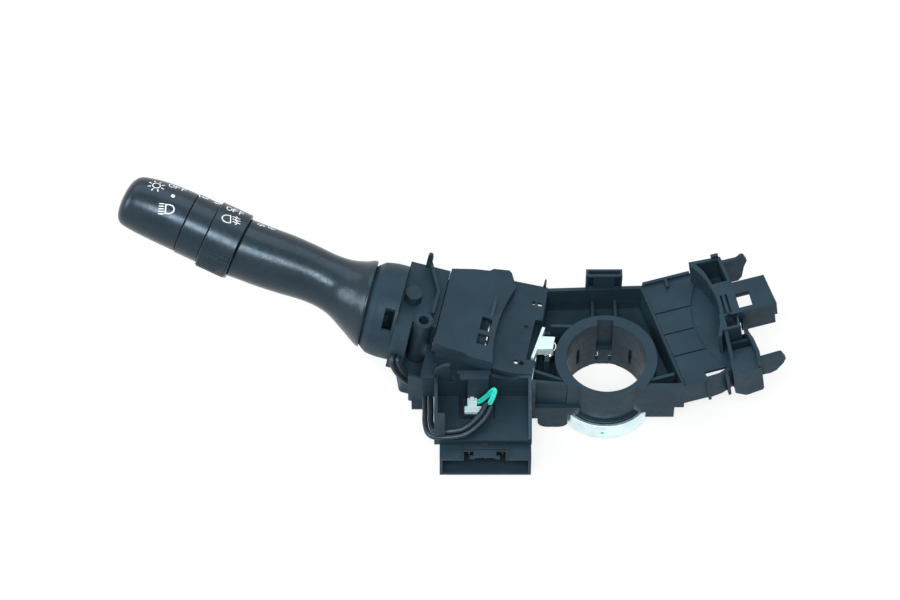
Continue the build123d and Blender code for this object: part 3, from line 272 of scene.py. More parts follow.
def ramp(tree, value, low, high, stops=(0.35, 0.65)):
    """Colour ramp between two colours."""
    node = tree.nodes.new("ShaderNodeValToRGB")
    for element, position, colour in zip(node.color_ramp.elements, stops, (low, high)):
        element.position = position
        element.color = (*colour, 1.0)
    tree.links.new(value, node.inputs["Fac"])
    return node.outputs["Color"]


def spread(tree, value, low, high):
    """Number between low and high that follows a pattern."""
    node = tree.nodes.new("ShaderNodeMapRange")
    node.inputs["From Min"].default_value = 0.3
    node.inputs["From Max"].default_value = 0.7
    node.inputs["To Min"].default_value = low
    node.inputs["To Max"].default_value = high
    tree.links.new(value, node.inputs["Value"])
    return node.outputs["Result"]


def bump(tree, shader, height, strength, depth):
    """Surface relief, with depth in millimetres."""
    node = tree.nodes.new("ShaderNodeBump")
    node.inputs["Strength"].default_value = strength
    node.inputs["Distance"].default_value = depth * MM
    tree.links.new(height, node.inputs["Height"])
    tree.links.new(node.outputs["Normal"], shader.inputs["Normal"])


def shade(colour, factor):
    """A colour made darker or lighter."""
    return [min(1.0, channel * factor) for channel in colour]


def moulded(name, colour, roughness, grain=4.0, relief=0.25, specular=0.5):
    """Moulded plastic: faint flow marks, spark-eroded grain and uneven sheen."""
    material, tree, shader = new_material(name, colour, roughness, specular=specular)
    flow = noise(tree, 0.05, 2.0, (1.0, 1.0, 3.0))
    tree.links.new(ramp(tree, flow, shade(colour, 0.86), shade(colour, 1.12)), shader.inputs["Base Color"])
    sheen = noise(tree, 0.35, 4.0)
    tree.links.new(spread(tree, sheen, roughness - 0.07, roughness + 0.07), shader.inputs["Roughness"])
    bump(tree, shader, noise(tree, grain, 2.0), relief, 0.04)
    return material


def plated(name, colour, roughness):
    """Bright zinc plate with drawn lines and cloudy passivation."""
    material, tree, shader = new_material(name, colour, roughness, metallic=1.0)
    cloud = noise(tree, 0.12, 4.0)
    tree.links.new(ramp(tree, cloud, shade(colour, 0.86), shade(colour, 1.05)), shader.inputs["Base Color"])
    lines = noise(tree, 1.2, 2.0, (0.15, 0.15, 3.0))
    tree.links.new(spread(tree, lines, roughness - 0.08, roughness + 0.10), shader.inputs["Roughness"])
    bump(tree, shader, lines, 0.2, 0.02)
    return material


def smooth_skin(name, colour, roughness, coat=0.0):
    """Insulation or nylon: near-smooth skin with slight colour drift."""
    material, tree, shader = new_material(name, colour, roughness, coat=coat)
    drift = noise(tree, 0.25, 2.0)
    tree.links.new(ramp(tree, drift, shade(colour, 0.92), shade(colour, 1.06)), shader.inputs["Base Color"])
    tree.links.new(spread(tree, noise(tree, 0.9, 3.0), roughness - 0.06, roughness + 0.06),
                   shader.inputs["Roughness"])
    bump(tree, shader, noise(tree, 2.0, 2.0), 0.12, 0.03)
    return material


def laminate(name, colour):
    """Board of pressed laminate: flecked and slightly glossy."""
    material, tree, shader = new_material(name, colour, 0.45)
    fleck = noise(tree, 1.6, 5.0, (1.0, 1.0, 0.3))
    tree.links.new(ramp(tree, fleck, shade(colour, 0.6), shade(colour, 1.5)), shader.inputs["Base Color"])
    bump(tree, shader, fleck, 0.15, 0.02)
    return material


def background_rays(tree):
    """One on rays that show the background: from the camera, off gloss and through clear pieces."""
    path = tree.nodes.new("ShaderNodeLightPath")
    rays = path.outputs["Is Camera Ray"]
    for name in ("Is Glossy Ray", "Is Transmission Ray"):
        either = tree.nodes.new("ShaderNodeMath")
        either.operation = "MAXIMUM"
        tree.links.new(rays, either.inputs[0])
        tree.links.new(path.outputs[name], either.inputs[1])
        rays = either.outputs[0]
    return rays


FINISHES = {}


def finish(name):
    """Material of a slot, made on first use."""
    if name not in FINISHES:
        settings = bpy.context.scene.stalk_finish
        black = settings.plastic_colour[:]
        lever = shade(black, 0.5)
        makers = {
            "black_plastic": lambda: moulded("bracket_moulding", black, 0.46, grain=3.0, relief=0.25, specular=0.17),
            "lever_plastic": lambda: moulded("lever_moulding", lever, settings.lever_roughness, grain=5.0,
                                             relief=0.08, specular=0.42),
            "grey_plastic": lambda: moulded("inner_moulding", GREY_COLOUR, 0.5),
            "white_plastic": lambda: smooth_skin("natural_nylon", NYLON_COLOUR, 0.35, coat=0.2),
            "zinc_steel": lambda: plated("bright_zinc", settings.zinc_colour[:], 0.32),
            "tin_brass": lambda: plated("stamped_brass", BRASS_COLOUR, 0.3),
            "steel": lambda: plated("bright_steel", STEEL_COLOUR, 0.3),
            "board": lambda: laminate("board_laminate", BOARD_COLOUR),
            "black_sheath": lambda: smooth_skin("sheath_vinyl", shade(black, 0.52), 0.38),
            "green_wire": lambda: smooth_skin("wire_vinyl", settings.wire_colour[:], 0.3, coat=0.3),
            "white_print": lambda: smooth_skin("white_print", PRINT_COLOUR, 0.5),
            "socket_brown": lambda: smooth_skin("socket_resin", RESIN_COLOUR, 0.5),
            "green_paint": lambda: smooth_skin("inspection_paint", PAINT_COLOUR, 0.4),
        }
        FINISHES[name] = makers[name]()
    return FINISHES[name]


# Mesh helpers

def piece(name, mesh, slot, body, replaced=()):
    """Put a finished mesh in the scene, name its slot and let it ride on its body."""
    obj = bpy.data.objects.new(name, mesh)
    bpy.context.scene.collection.objects.link(obj)
    mesh.materials.clear()
    mesh.materials.append(finish(slot))
    if replaced:
        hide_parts(*replaced)
    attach(obj, body)
    return obj


def baked(obj):
    """Plain mesh of an object with its modifiers applied; the object goes."""
    bpy.context.view_layer.update()
    graph = bpy.context.evaluated_depsgraph_get()
    mesh = bpy.data.meshes.new_from_object(obj.evaluated_get(graph), preserve_all_data_layers=True, depsgraph=graph)
    bpy.data.objects.remove(obj)
    return mesh


def rounded(mesh, width, angle=30.0, segments=2):
    """Mesh with its sharp edges rounded and its flats kept flat."""
    obj = bpy.data.objects.new("rounding", mesh)
    bpy.context.scene.collection.objects.link(obj)
    if width:
        edge = obj.modifiers.new("edge", "BEVEL")
        edge.width = width * MM
        edge.segments = segments
        edge.limit_method = "ANGLE"
        edge.angle_limit = math.radians(angle)
        edge.use_clamp_overlap = True
        edge.miter_outer = "MITER_ARC"
    weight = obj.modifiers.new("weight", "WEIGHTED_NORMAL")
    weight.keep_sharp = True
    return baked(obj)


def solid_copy(node):
    """Merged copy of a frame node's mesh, with flat areas as single faces."""
    form = bmesh.new()
    form.from_mesh(frame["nodes"][node].data)
    bmesh.ops.remove_doubles(form, verts=form.verts, dist=2e-6)
    bmesh.ops.dissolve_limit(form, angle_limit=math.radians(0.8), verts=form.verts, edges=form.edges)
    for face in form.faces:
        face.smooth = True
    mesh = bpy.data.meshes.new(node)
    form.to_mesh(mesh)
    form.free()
    return mesh


def dress(node, name, slot, body, width, reshape=None):
    """Stand a rounded copy of a node in its place; reshape may move the copy's points first."""
    mesh = solid_copy(node)
    if reshape:
        reshape(mesh)
    return piece(name, rounded(mesh, width), slot, body, (node,))


def swollen(mesh, least, amount):
    """Push the points of a ring on the handle outwards that lie beyond a radius."""
    back = HANDLE.inverted()
    for vert in mesh.vertices:
        local = back @ vert.co
        radius = math.hypot(local.x, local.y)
        if radius > least:
            local.xy = local.xy * ((radius + amount) / radius)
            vert.co = HANDLE @ local


def ridged(mesh):
    """Draw the neck hood's dome out to a band, a ridge and a cone that reaches into the bell."""
    hub = (LEFT @ PIVOT) / MM
    for vert in mesh.vertices:
        arm = vert.co / MM - hub
        along = arm.dot(NECK_DIR)
        spoke = arm - NECK_DIR * along
        if along < HOOD_DOME or spoke.length < HOOD_BORE:
            continue
        if along < HOOD_RIDGE:
            lift, push = HOOD_LIFT * ((along - HOOD_DOME) / (HOOD_RIDGE - HOOD_DOME)) ** 2, 0.0
        else:
            share = (along - HOOD_RIDGE) / (HOOD_END - HOOD_RIDGE)
            lift, push = HOOD_LIFT * (1 - share), HOOD_REACH * share
        if spoke.length < HOOD_SKIN:
            lift = 0.0
        vert.co = (hub + NECK_DIR * (along + push) + spoke * (1 + lift / spoke.length)) * MM


def block(form, base, x_range, y_range, z_range):
    """Box between pairs of coordinates on base's axes, added to a form."""
    corners = [form.verts.new(base @ Vector((x, y, z))) for z in z_range for x, y in
               ((x_range[0], y_range[0]), (x_range[1], y_range[0]), (x_range[1], y_range[1]),
                (x_range[0], y_range[1]))]
    for ring in ((0, 1, 2, 3), (4, 5, 6, 7), (0, 1, 5, 4), (1, 2, 6, 5), (2, 3, 7, 6), (3, 0, 4, 7)):
        form.faces.new([corners[index] for index in ring])


def curved_block(form, base, radii, angles, z_range, steps=8):
    """Part of a ring round base's z axis; angles are in degrees."""
    rings = []
    for step in range(steps + 1):
        a = math.radians(angles[0] + (angles[1] - angles[0]) * step / steps)
        rings.append([form.verts.new(base @ Vector((radius * math.cos(a), radius * math.sin(a), z)))
                      for radius, z in ((radii[0], z_range[0]), (radii[1], z_range[0]), (radii[1], z_range[1]),
                                        (radii[0], z_range[1]))])
    bridge(form, rings)
    form.faces.new(rings[0])
    form.faces.new(rings[-1])


def flat_mesh(name, form):
    """Mesh of a bmesh with flat faces that look outwards."""
    mesh = closed_mesh(name, form)
    for polygon in mesh.polygons:
        polygon.use_smooth = False
    return mesh


def closed_mesh(name, form):
    """Mesh of a bmesh with smooth faces that look outwards."""
    bmesh.ops.recalc_face_normals(form, faces=form.faces)
    for face in form.faces:
        face.smooth = True
    mesh = bpy.data.meshes.new(name)
    form.to_mesh(mesh)
    form.free()
    return mesh


def bridge(form, rings):
    """Join neighbouring rings of points with quads; a ring of one point closes an end."""
    for first, second in zip(rings, rings[1:]):
        count = max(len(first), len(second))
        for index in range(count):
            after = (index + 1) % count
            if len(first) == 1:
                form.faces.new((first[0], second[after], second[index]))
            elif len(second) == 1:
                form.faces.new((first[index], first[after], second[0]))
            else:
                form.faces.new((first[index], first[after], second[after], second[index]))


def eased(rows, position):
    """Value of a table at a fractional row, along a smooth curve through its rows."""
    index = min(int(position), len(rows) - 2)
    share = position - index
    picked = [rows[max(0, min(len(rows) - 1, index + step))] for step in (-1, 0, 1, 2)]
    result = []
    for before, start, end, after in zip(*picked):
        slope_in = (end - before) / 2
        slope_out = (after - start) / 2
        result.append((2 * share ** 3 - 3 * share ** 2 + 1) * start + (share ** 3 - 2 * share ** 2 + share) * slope_in
                      + (3 * share ** 2 - 2 * share ** 3) * end + (share ** 3 - share ** 2) * slope_out)
    return result


def lathe(name, base, profile, segments=ROUND_SIDES):
    """Solid turned from (radius, height) points in base's millimetres."""
    form = bmesh.new()
    rings = []
    for radius, height in profile:
        count = segments if radius > 1e-6 else 1
        turns = [2 * math.pi * step / segments for step in range(count)]
        rings.append([form.verts.new(base @ Vector((radius * math.cos(a), radius * math.sin(a), height)))
                      for a in turns])
    bridge(form, rings)
    return closed_mesh(name, form)


def row_of(mesh, count, step, name):
    """Copies of a mesh at even steps, made by a node group with a count and a step."""
    group = bpy.data.node_groups.new(name, "GeometryNodeTree")
    group.interface.new_socket("Geometry", in_out="INPUT", socket_type="NodeSocketGeometry")
    count_socket = group.interface.new_socket("Count", in_out="INPUT", socket_type="NodeSocketInt")
    step_socket = group.interface.new_socket("Step", in_out="INPUT", socket_type="NodeSocketVector")
    finish_socket = group.interface.new_socket("Finish", in_out="INPUT", socket_type="NodeSocketMaterial")
    group.interface.new_socket("Geometry", in_out="OUTPUT", socket_type="NodeSocketGeometry")
    given = group.nodes.new("NodeGroupInput")
    line = group.nodes.new("GeometryNodeMeshLine")
    place = group.nodes.new("GeometryNodeInstanceOnPoints")
    real = group.nodes.new("GeometryNodeRealizeInstances")
    paint = group.nodes.new("GeometryNodeSetMaterial")
    out = group.nodes.new("NodeGroupOutput")
    group.links.new(given.outputs["Count"], line.inputs["Count"])
    group.links.new(given.outputs["Step"], line.inputs["Offset"])
    group.links.new(line.outputs["Mesh"], place.inputs["Points"])
    group.links.new(given.outputs["Geometry"], place.inputs["Instance"])
    group.links.new(place.outputs["Instances"], real.inputs["Geometry"])
    group.links.new(real.outputs["Geometry"], paint.inputs["Geometry"])
    group.links.new(given.outputs["Finish"], paint.inputs["Material"])
    group.links.new(paint.outputs["Geometry"], out.inputs["Geometry"])
    obj = bpy.data.objects.new(name, mesh)
    bpy.context.scene.collection.objects.link(obj)
    rows = obj.modifiers.new("rows", "NODES")
    rows.node_group = group
    rows[count_socket.identifier] = count
    rows[step_socket.identifier] = step
    rows[finish_socket.identifier] = finish("lever_plastic")
    return baked(obj)


# Prints: strokes and spots are drawn flat, in millimetres, and then laid on a round surface

def stroke(form, points, width, low, high, closed=False):
    """Thin raised line through points, as one closed block for each run."""
    runs = list(zip(points, points[1:] + points[:1] if closed else points[1:]))
    for start, end in runs:
        start, end = Vector(start), Vector(end)
        along = (end - start).normalized()
        aside = Vector((-along.y, along.x)) * width / 2
        start, end = start - along * width * LINE_OVERLAP, end + along * width * LINE_OVERLAP
        steps = max(1, math.ceil((end - start).length / LINE_STEP))
        rings = []
        for step in range(steps + 1):
            spot = start.lerp(end, step / steps)
            rings.append([form.verts.new((*(spot + aside * turn), height))
                          for turn, height in ((-1, low), (1, low), (1, high), (-1, high))])
        bridge(form, rings)
        form.faces.new(rings[0])
        form.faces.new(rings[-1])


def spot(form, centre, radius, low, high, sides=28):
    """Thin raised disc."""
    rings = []
    for size, height in ((0, low), (radius, low), (radius, high), (0, high)):
        turns = [2 * math.pi * step / sides for step in range(sides if size else 1)]
        rings.append([form.verts.new((centre[0] + size * math.cos(a), centre[1] + size * math.sin(a), height))
                      for a in turns])
    bridge(form, rings)


def arc_points(centre, radius, start, end, count):
    """Points along an arc; angles are in degrees."""
    return [(centre[0] + radius * math.cos(math.radians(start + (end - start) * step / count)),
             centre[1] + radius * math.sin(math.radians(start + (end - start) * step / count)))
            for step in range(count + 1)]


def laid_on(form, base, radius_at, height, angle, tilt, bow_at=None):
    """Bend a flat drawing onto a round surface; its x runs towards the column and its y backwards."""
    turn = math.radians(tilt)
    for vert in form.verts:
        x = vert.co.x * math.cos(turn) - vert.co.y * math.sin(turn)
        y = vert.co.x * math.sin(turn) + vert.co.y * math.cos(turn)
        level = height - x
        radius = radius_at(level)
        theta = math.radians(angle) + y / radius
        radius += vert.co.z
        vert.co = base @ Vector((radius * math.cos(theta), radius * math.sin(theta), level))
        if bow_at:
            vert.co += Vector((0, bow_at(level), 0)) * MM


def draw_off(form, width, low, high):
    """The word OFF, 3.8 mm high."""
    ring = [(1.35 * math.cos(a) - 3.3, 1.9 * math.sin(a)) for a in (math.pi * step / 7 for step in range(14))]
    stroke(form, ring, width, low, high, closed=True)
    for x in (-1.1, 2.3):
        stroke(form, [(x, -1.9), (x, 1.9), (x + 2.3, 1.9)], width, low, high)
        stroke(form, [(x, 0.1), (x + 1.9, 0.1)], width, low, high)


def lamp_outline(form, x, side, width, low, high):
    """Headlamp lens: a flat side at x and a round nose that points to side."""
    nose = arc_points((x + side * 1.4, 0.0), 2.3, 90, -90, 10)
    nose = [(x + side * (1.4 + abs(px - x - side * 1.4) * 1.25), py) for px, py in nose]
    stroke(form, [(x, 2.3)] + nose + [(x, -2.3)], width, low, high, closed=True)


def draw_sun(form, width, low, high):
    """Side lamp: a circle with eight rays."""
    stroke(form, arc_points((0, 0), 2.0, 0, 330, 11), width, low, high, closed=True)
    for ray in range(8):
        a = math.radians(45 * ray + 10)
        stroke(form, [(3.1 * math.cos(a), 3.1 * math.sin(a)), (4.2 * math.cos(a), 4.2 * math.sin(a))],
               width * 1.2, low, high)


def draw_headlamp(form, width, low, high):
    """Headlamp with five level beams."""
    lamp_outline(form, 0.0, 1, width * 1.15, low, high)
    for y in (2.6, 1.3, 0.0, -1.3, -2.6):
        stroke(form, [(-0.9, y), (-3.3, y)], width * 0.9, low, high)


def draw_fog(form, width, low, high):
    """Fog lamp with three slanted beams and a wavy line."""
    lamp_outline(form, 0.0, -1, width, low, high)
    for y in (1.6, 0.0, -1.6):
        stroke(form, [(1.2, y + 0.4), (4.9, y - 0.5)], width * 0.8, low, high)
    wave = [(3.0 + 0.5 * math.sin(step * 1.3), 2.8 - step * 0.7) for step in range(9)]
    stroke(form, wave, width * 0.8, low, high)


def draw_arrows(form, width, low, high):
    """Turn signal: two outlined arrows that point apart."""
    half = ((1.1, -0.65), (1.1, 0.65), (3.0, 0.65), (3.0, 1.35), (4.9, 0.0), (3.0, -1.35), (3.0, -0.65))
    for side in (-1, 1):
        stroke(form, [(side * x, y) for x, y in half], width * 0.8, low, high, closed=True)


def draw_pointer(form, width, low, high):
    """Bar with a small angle, on the marker ring."""
    stroke(form, [(-2.3, -0.9), (-2.3, 0.8), (-0.4, 0.8)], width, low, high)
    stroke(form, [(-0.2, 0.0), (2.2, 0.0)], width * 2.2, low, high)


def draw_bar(form, width, low, high):
    """Short bar that the fog ring is read against."""
    stroke(form, [(-1.2, 0.0), (1.2, 0.0)], width * 2.2, low, high)


def draw_dot(form, width, low, high):
    """Round dot, whatever the line's width."""
    spot(form, (0, 0), 1.05, low, high)


# Marks: name, drawing, radius and bow of the surface, level along the handle, angle, tilt and body
MARKS = (("mark_sun", draw_sun, knob_radius, knob_bow, 118.9, 20.0, PRINT_TILT, KNOB),
         ("mark_off_knob", draw_off, knob_radius, knob_bow, 108.8, 39.0, LETTER_TILT, KNOB),
         ("mark_dot", draw_dot, knob_radius, knob_bow, 108.8, 7.5, 0.0, KNOB),
         ("mark_headlamp", draw_headlamp, knob_radius, knob_bow, 109.2, -23.0, PRINT_TILT, KNOB),
         ("mark_knob_pointer", draw_pointer, marker_radius, None, 95.0, 41.0, PRINT_TILT, LEVER),
         ("mark_ring_pointer", draw_bar, marker_radius, None, 87.7, 43.0, PRINT_TILT, LEVER),
         ("mark_off_fog", draw_off, fog_radius, None, 77.4, 34.0, LETTER_TILT, FOG_RING),
         ("mark_fog_lamp", draw_fog, fog_radius, None, 77.6, 8.0, PRINT_TILT, FOG_RING),
         ("mark_turn_arrows", draw_arrows, grip_radius, grip_bow, 60.0, 40.0, ARROW_TILT, LEVER))


def print_mark(name, draw, radius_at, bow_at, height, angle, tilt, body):
    """Draw a mark, lay it on the lever and let it ride on its body."""
    marks = bpy.context.scene.stalk_marks
    form = bmesh.new()
    draw(form, marks.line / MM, -PRINT_DEPTH, marks.proud / MM)
    laid_on(form, HANDLE, radius_at, height, angle, tilt, bow_at)
    return piece(name, closed_mesh(name, form), "white_print", body)


# Settings

class StalkFinish(bpy.types.PropertyGroup):
    """Colours and sheen of the mouldings and metal."""

    plastic_colour: bpy.props.FloatVectorProperty(
        name="Plastic colour", description="Colour of the black mouldings", subtype="COLOR", size=3, min=0.0,
        max=1.0, default=(0.0150, 0.0318, 0.0455))
    zinc_colour: bpy.props.FloatVectorProperty(
        name="Zinc colour", description="Colour of the plated band", subtype="COLOR", size=3, min=0.0, max=1.0,
        default=(0.78, 0.96, 1.0))
    wire_colour: bpy.props.FloatVectorProperty(
        name="Wire colour", description="Colour of the two wires", subtype="COLOR", size=3, min=0.0, max=1.0,
        default=(0.02, 0.62, 0.50))
    lever_roughness: bpy.props.FloatProperty(
        name="Lever roughness", description="Sheen of the lever; lower is glossier", min=0.15, max=0.8,
        default=0.27)


class StalkMarks(bpy.types.PropertyGroup):
    """Printed marks on the lever."""

    line: bpy.props.FloatProperty(
        name="Line width", description="Width of the printed lines", unit="LENGTH", min=0.0002, max=0.001,
        default=0.00055)
    proud: bpy.props.FloatProperty(
        name="Print height", description="How far the print stands off the plastic", unit="LENGTH", min=0.00001,
        max=0.0002, default=0.00004)


class StalkStage(bpy.types.PropertyGroup):
    """Floor and lights."""

    floor_colour: bpy.props.FloatVectorProperty(
        name="Floor colour", description="Colour of the pale floor", subtype="COLOR", size=3, min=0.0, max=1.0,
        default=(0.92, 0.93, 0.94))
    key_power: bpy.props.FloatProperty(
        name="Key light", description="Power of the large soft light", unit="POWER", min=0.0, max=500.0,
        default=43.0)
    sky: bpy.props.FloatProperty(
        name="Sky", description="Level of the even light from all round", min=0.0, max=2.0, default=0.26)


# Pieces

class STALK_OT_bracket(bpy.types.Operator):
    """Dress the bracket, the wiper switch bay and the front compartment"""

    bl_idname = "stalk.bracket"
    bl_label = "Bracket and bays"

    def execute(self, context):
        dress("column_bracket", "bracket_moulding", "black_plastic", BRACKET, 0.3)
        dress("wiper_switch_bay", "bay_moulding", "black_plastic", BRACKET, 0.3)
        dress("connector_bay", "compartment_moulding", "black_plastic", BRACKET, 0.3)
        dress("column_clamp", "clamp_band", "zinc_steel", BRACKET, 0.15)
        return {"FINISHED"}


class STALK_OT_connector(bpy.types.Operator):
    """Dress the harness socket, its board and the small white plug"""

    bl_idname = "stalk.connector"
    bl_label = "Connector and plug"

    def execute(self, context):
        dress("main_connector", "socket_shell", "black_plastic", BRACKET, 0.25)
        dress("connector_board", "socket_board", "board", BRACKET, 0.1)
        dress("aux_header", "plug_header", "black_plastic", BRACKET, 0.15)
        dress("aux_plug", "plug_shell", "white_plastic", BRACKET, 0.2)
        return {"FINISHED"}


class STALK_OT_module(bpy.types.Operator):
    """Dress the left-hand switch module"""

    bl_idname = "stalk.module"
    bl_label = "Switch module"

    def execute(self, context):
        dress("switch_case", "module_case", "black_plastic", BRACKET, 0.3)
        dress("case_top_plate", "module_top", "black_plastic", BRACKET, 0.25)
        dress("neck_hood", "module_hood", "black_plastic", BRACKET, 0.2, ridged)
        dress("switch_cover", "module_cover", "black_plastic", BRACKET, 0.3)
        dress("turn_carrier", "swivel_yoke", "black_plastic", SWIVEL, 0.3)
        return {"FINISHED"}


class STALK_OT_lever(bpy.types.Operator):
    """Build the smooth lever grip and knob and dress the two rings"""

    bl_idname = "stalk.lever"
    bl_label = "Lever"

    def execute(self, context):
        self.grip()
        self.knob()
        swell = MARKER_RADIUS - MARKER_SOLID
        dress("marker_ring", "marker_collar", "lever_plastic", LEVER, 0.25,
              lambda mesh: swollen(mesh, MARKER_BORE, swell))
        spread_out = FOG_RADIUS - FOG_SOLID
        dress("fog_ring", "fog_collar", "lever_plastic", FOG_RING, 0.25,
              lambda mesh: swollen(mesh, FOG_BORE, spread_out))
        self.ridges()
        return {"FINISHED"}

    def grip(self):
        """Grip with its bell, as a shell with an inside and an outside."""
        last = len(GRIP_STATIONS) - 1
        outside = [(0.0, LIP_INSETS[1])] + [(step / GRIP_STEPS, 0.0) for step in range(1, GRIP_STEPS)]
        outside += [(EDGE_START, 0.0), (1.0, EDGE_INSET)]
        inside = [(share, GRIP_WALL) for share, _ in reversed(outside)]
        turns = [2 * math.pi * turn / ROUND_SIDES for turn in range(ROUND_SIDES)]
        form = bmesh.new()
        rings = []
        for share, inset in [(0.0, LIP_INSETS[0])] + outside + inside:
            radius, bow, bend, back = eased(GRIP_STATIONS, share * last)
            normal = (NECK_DIR * (1 - bend) + HANDLE_DIR * bend).normalized()
            centre = BELL_CENTRE + HANDLE_DIR * GRIP_LENGTH * share + Vector((0, bow, 0)) - normal * back
            if not rings:
                centre = centre - normal * LIP_SINK
            upward = (HANDLE.col[1].to_3d() / MM).cross(normal).normalized()
            aside = normal.cross(upward)
            reach = radius - inset
            rings.append([form.verts.new((centre + (upward * math.cos(a) + aside * math.sin(a)) * reach) * MM)
                          for a in turns])
        bridge(form, rings + rings[:1])
        piece("lever_grip", closed_mesh("lever_grip", form), "lever_plastic", LEVER, ("lever_shell",))

    def knob(self):
        """End knob with its rounded nose and the recess at its seam."""
        count = (len(KNOB_PROFILE) - 1) * KNOB_STEPS + 1
        outside = [tuple(eased(KNOB_PROFILE, step / KNOB_STEPS)) for step in range(count)]
        outside[0] = (0.0, outside[0][1])
        mesh = lathe("light_knob", HANDLE, outside + KNOB_SEAM)
        back = HANDLE.inverted()
        for vert in mesh.vertices:
            vert.co.y += knob_bow((back @ vert.co).z) * MM
        piece("light_knob", mesh, "lever_plastic", KNOB, ("end_knob",))

    def ridges(self):
        """Slanted ridges on the fog ring's thumb pad."""
        form = bmesh.new()
        stroke(form, PAD_RIDGE, RIDGE_WIDTH, RIDGE_FOOT, RIDGE_TOP)
        mesh = closed_mesh("ridge", form)
        form = bmesh.new()
        form.from_mesh(row_of(mesh, RIDGE_COUNT, (RIDGE_STEP, 0.0, 0.0), "pad_ridges"))
        laid_on(form, HANDLE, lambda level: FOG_RADIUS + PAD_RISE, PAD_LEVEL, PAD_ANGLE, 0.0)
        piece("fog_pad_ridges", closed_mesh("fog_pad_ridges", form), "lever_plastic", FOG_RING)


class STALK_OT_marks(bpy.types.Operator):
    """Print the plain lighting pictograms and OFF marks on the lever"""

    bl_idname = "stalk.marks"
    bl_label = "Printed marks"

    def execute(self, context):
        for row in MARKS:
            print_mark(*row)
        return {"FINISHED"}


class STALK_OT_hardware(bpy.types.Operator):
    """Give the small and inner frame nodes their finishes"""

    bl_idname = "stalk.hardware"
    bl_label = "Small parts"

    def execute(self, context):
        slots = {row["node"]: row["material_slot"] for row in frame["record"]["subparts"]}
        for node, obj in frame["nodes"].items():
            if obj.hide_render:
                continue
            for index in range(len(obj.material_slots)):
                obj.material_slots[index].material = finish(slots[node])
        return {"FINISHED"}


class STALK_OT_lead(bpy.types.Operator):
    """Lay the paired lead and the two green wires as smooth strands"""

    bl_idname = "stalk.lead"
    bl_label = "Lead"

    def execute(self, context):
        route = [(LEFT @ Vector(point)) / MM for point in LEAD_START] + [Vector(point) for point in LEAD_REST]
        self.strands("paired_lead", route, LEAD_RADIUS, LEAD_APART, "black_sheath", "lead_sheath")
        route = [Vector(point) for point in WIRE_ROUTE]
        self.strands("green_wires", route, WIRE_RADIUS, WIRE_APART, "green_wire", "aux_wires")
        return {"FINISHED"}

    def strands(self, name, route, radius, apart, slot, replaced):
        """Two round strands side by side along a route in millimetres, in place of a frame node."""
        path = [Vector(eased(route, step / STRAND_STEPS)) for step in range((len(route) - 1) * STRAND_STEPS + 1)]
        form = bmesh.new()
        for turn in (-1, 1):
            rings = []
            for index, point in enumerate(path):
                ahead = (path[min(index + 1, len(path) - 1)] - path[max(index - 1, 0)]).normalized()
                side = ahead.cross(STRAND_UP).normalized()
                other = ahead.cross(side)
                centre = point + side * apart * turn
                rings.append([form.verts.new((centre + (side * math.cos(a) + other * math.sin(a)) * radius) * MM)
                              for a in (2 * math.pi * step / STRAND_SIDES for step in range(STRAND_SIDES))])
            bridge(form, rings)
            form.faces.new(rings[0])
            form.faces.new(rings[-1])
        piece(name, closed_mesh(name, form), slot, BRACKET, (replaced,))


class STALK_OT_webs(bpy.types.Operator):
    """Add the thin webs, ribs and small marks of the mouldings"""

    bl_idname = "stalk.webs"
    bl_label = "Webs and small marks"

    def execute(self, context):
        self.boxes("inner_webs", "black_plastic", INNER_WEBS)
        self.collar()
        self.boxes("socket_ribs", "black_plastic", SOCKET_RIBS)
        self.boxes("socket_tie", "socket_brown", SOCKET_TIE)
        self.dot()
        self.recesses()
        return {"FINISHED"}

    def boxes(self, name, slot, rows):
        """One piece of boxes, each given as its axes and three ranges."""
        form = bmesh.new()
        for base, x_range, y_range, z_range in rows:
            block(form, base, x_range, y_range, z_range)
        piece(name, flat_mesh(name, form), slot, BRACKET)

    def collar(self):
        """Webs behind the collar's slits and notches."""
        form = bmesh.new()
        for side in (-1, 1):
            for middle, radii, (near, far), heights in COLLAR_WEBS:
                curved_block(form, WORLD, radii, (middle + side * near, middle + side * far), heights)
        piece("collar_webs", flat_mesh("collar_webs", form), "black_plastic", BRACKET)

    def dot(self):
        """Paint dot on the front of the clamp."""
        form = bmesh.new()
        spot(form, (0.0, 0.0), DOT_RADIUS, DOT_FOOT, DOT_TOP)
        laid_on(form, WORLD, lambda level: CLAMP_RADIUS, DOT_LEVEL, DOT_ANGLE, 0.0)
        piece("inspection_dot", closed_mesh("inspection_dot", form), "green_paint", BRACKET)

    def recesses(self):
        """Crossed recesses of the case's screws, drawn as thin crosses in the darker sheath finish: painted shade."""
        form = bmesh.new()
        for x, y in SCREWS:
            for along, across in ((RECESS_LONG, RECESS_SHORT), (RECESS_SHORT, RECESS_LONG)):
                block(form, LEFT, (x - along, x + along), (y - across, y + across), RECESS_HEIGHTS)
        # The darker sheath finish on these crosses is painted shade for the screws' recesses.
        piece("screw_recess_shade", flat_mesh("screw_recess_shade", form), "black_sheath", BRACKET)


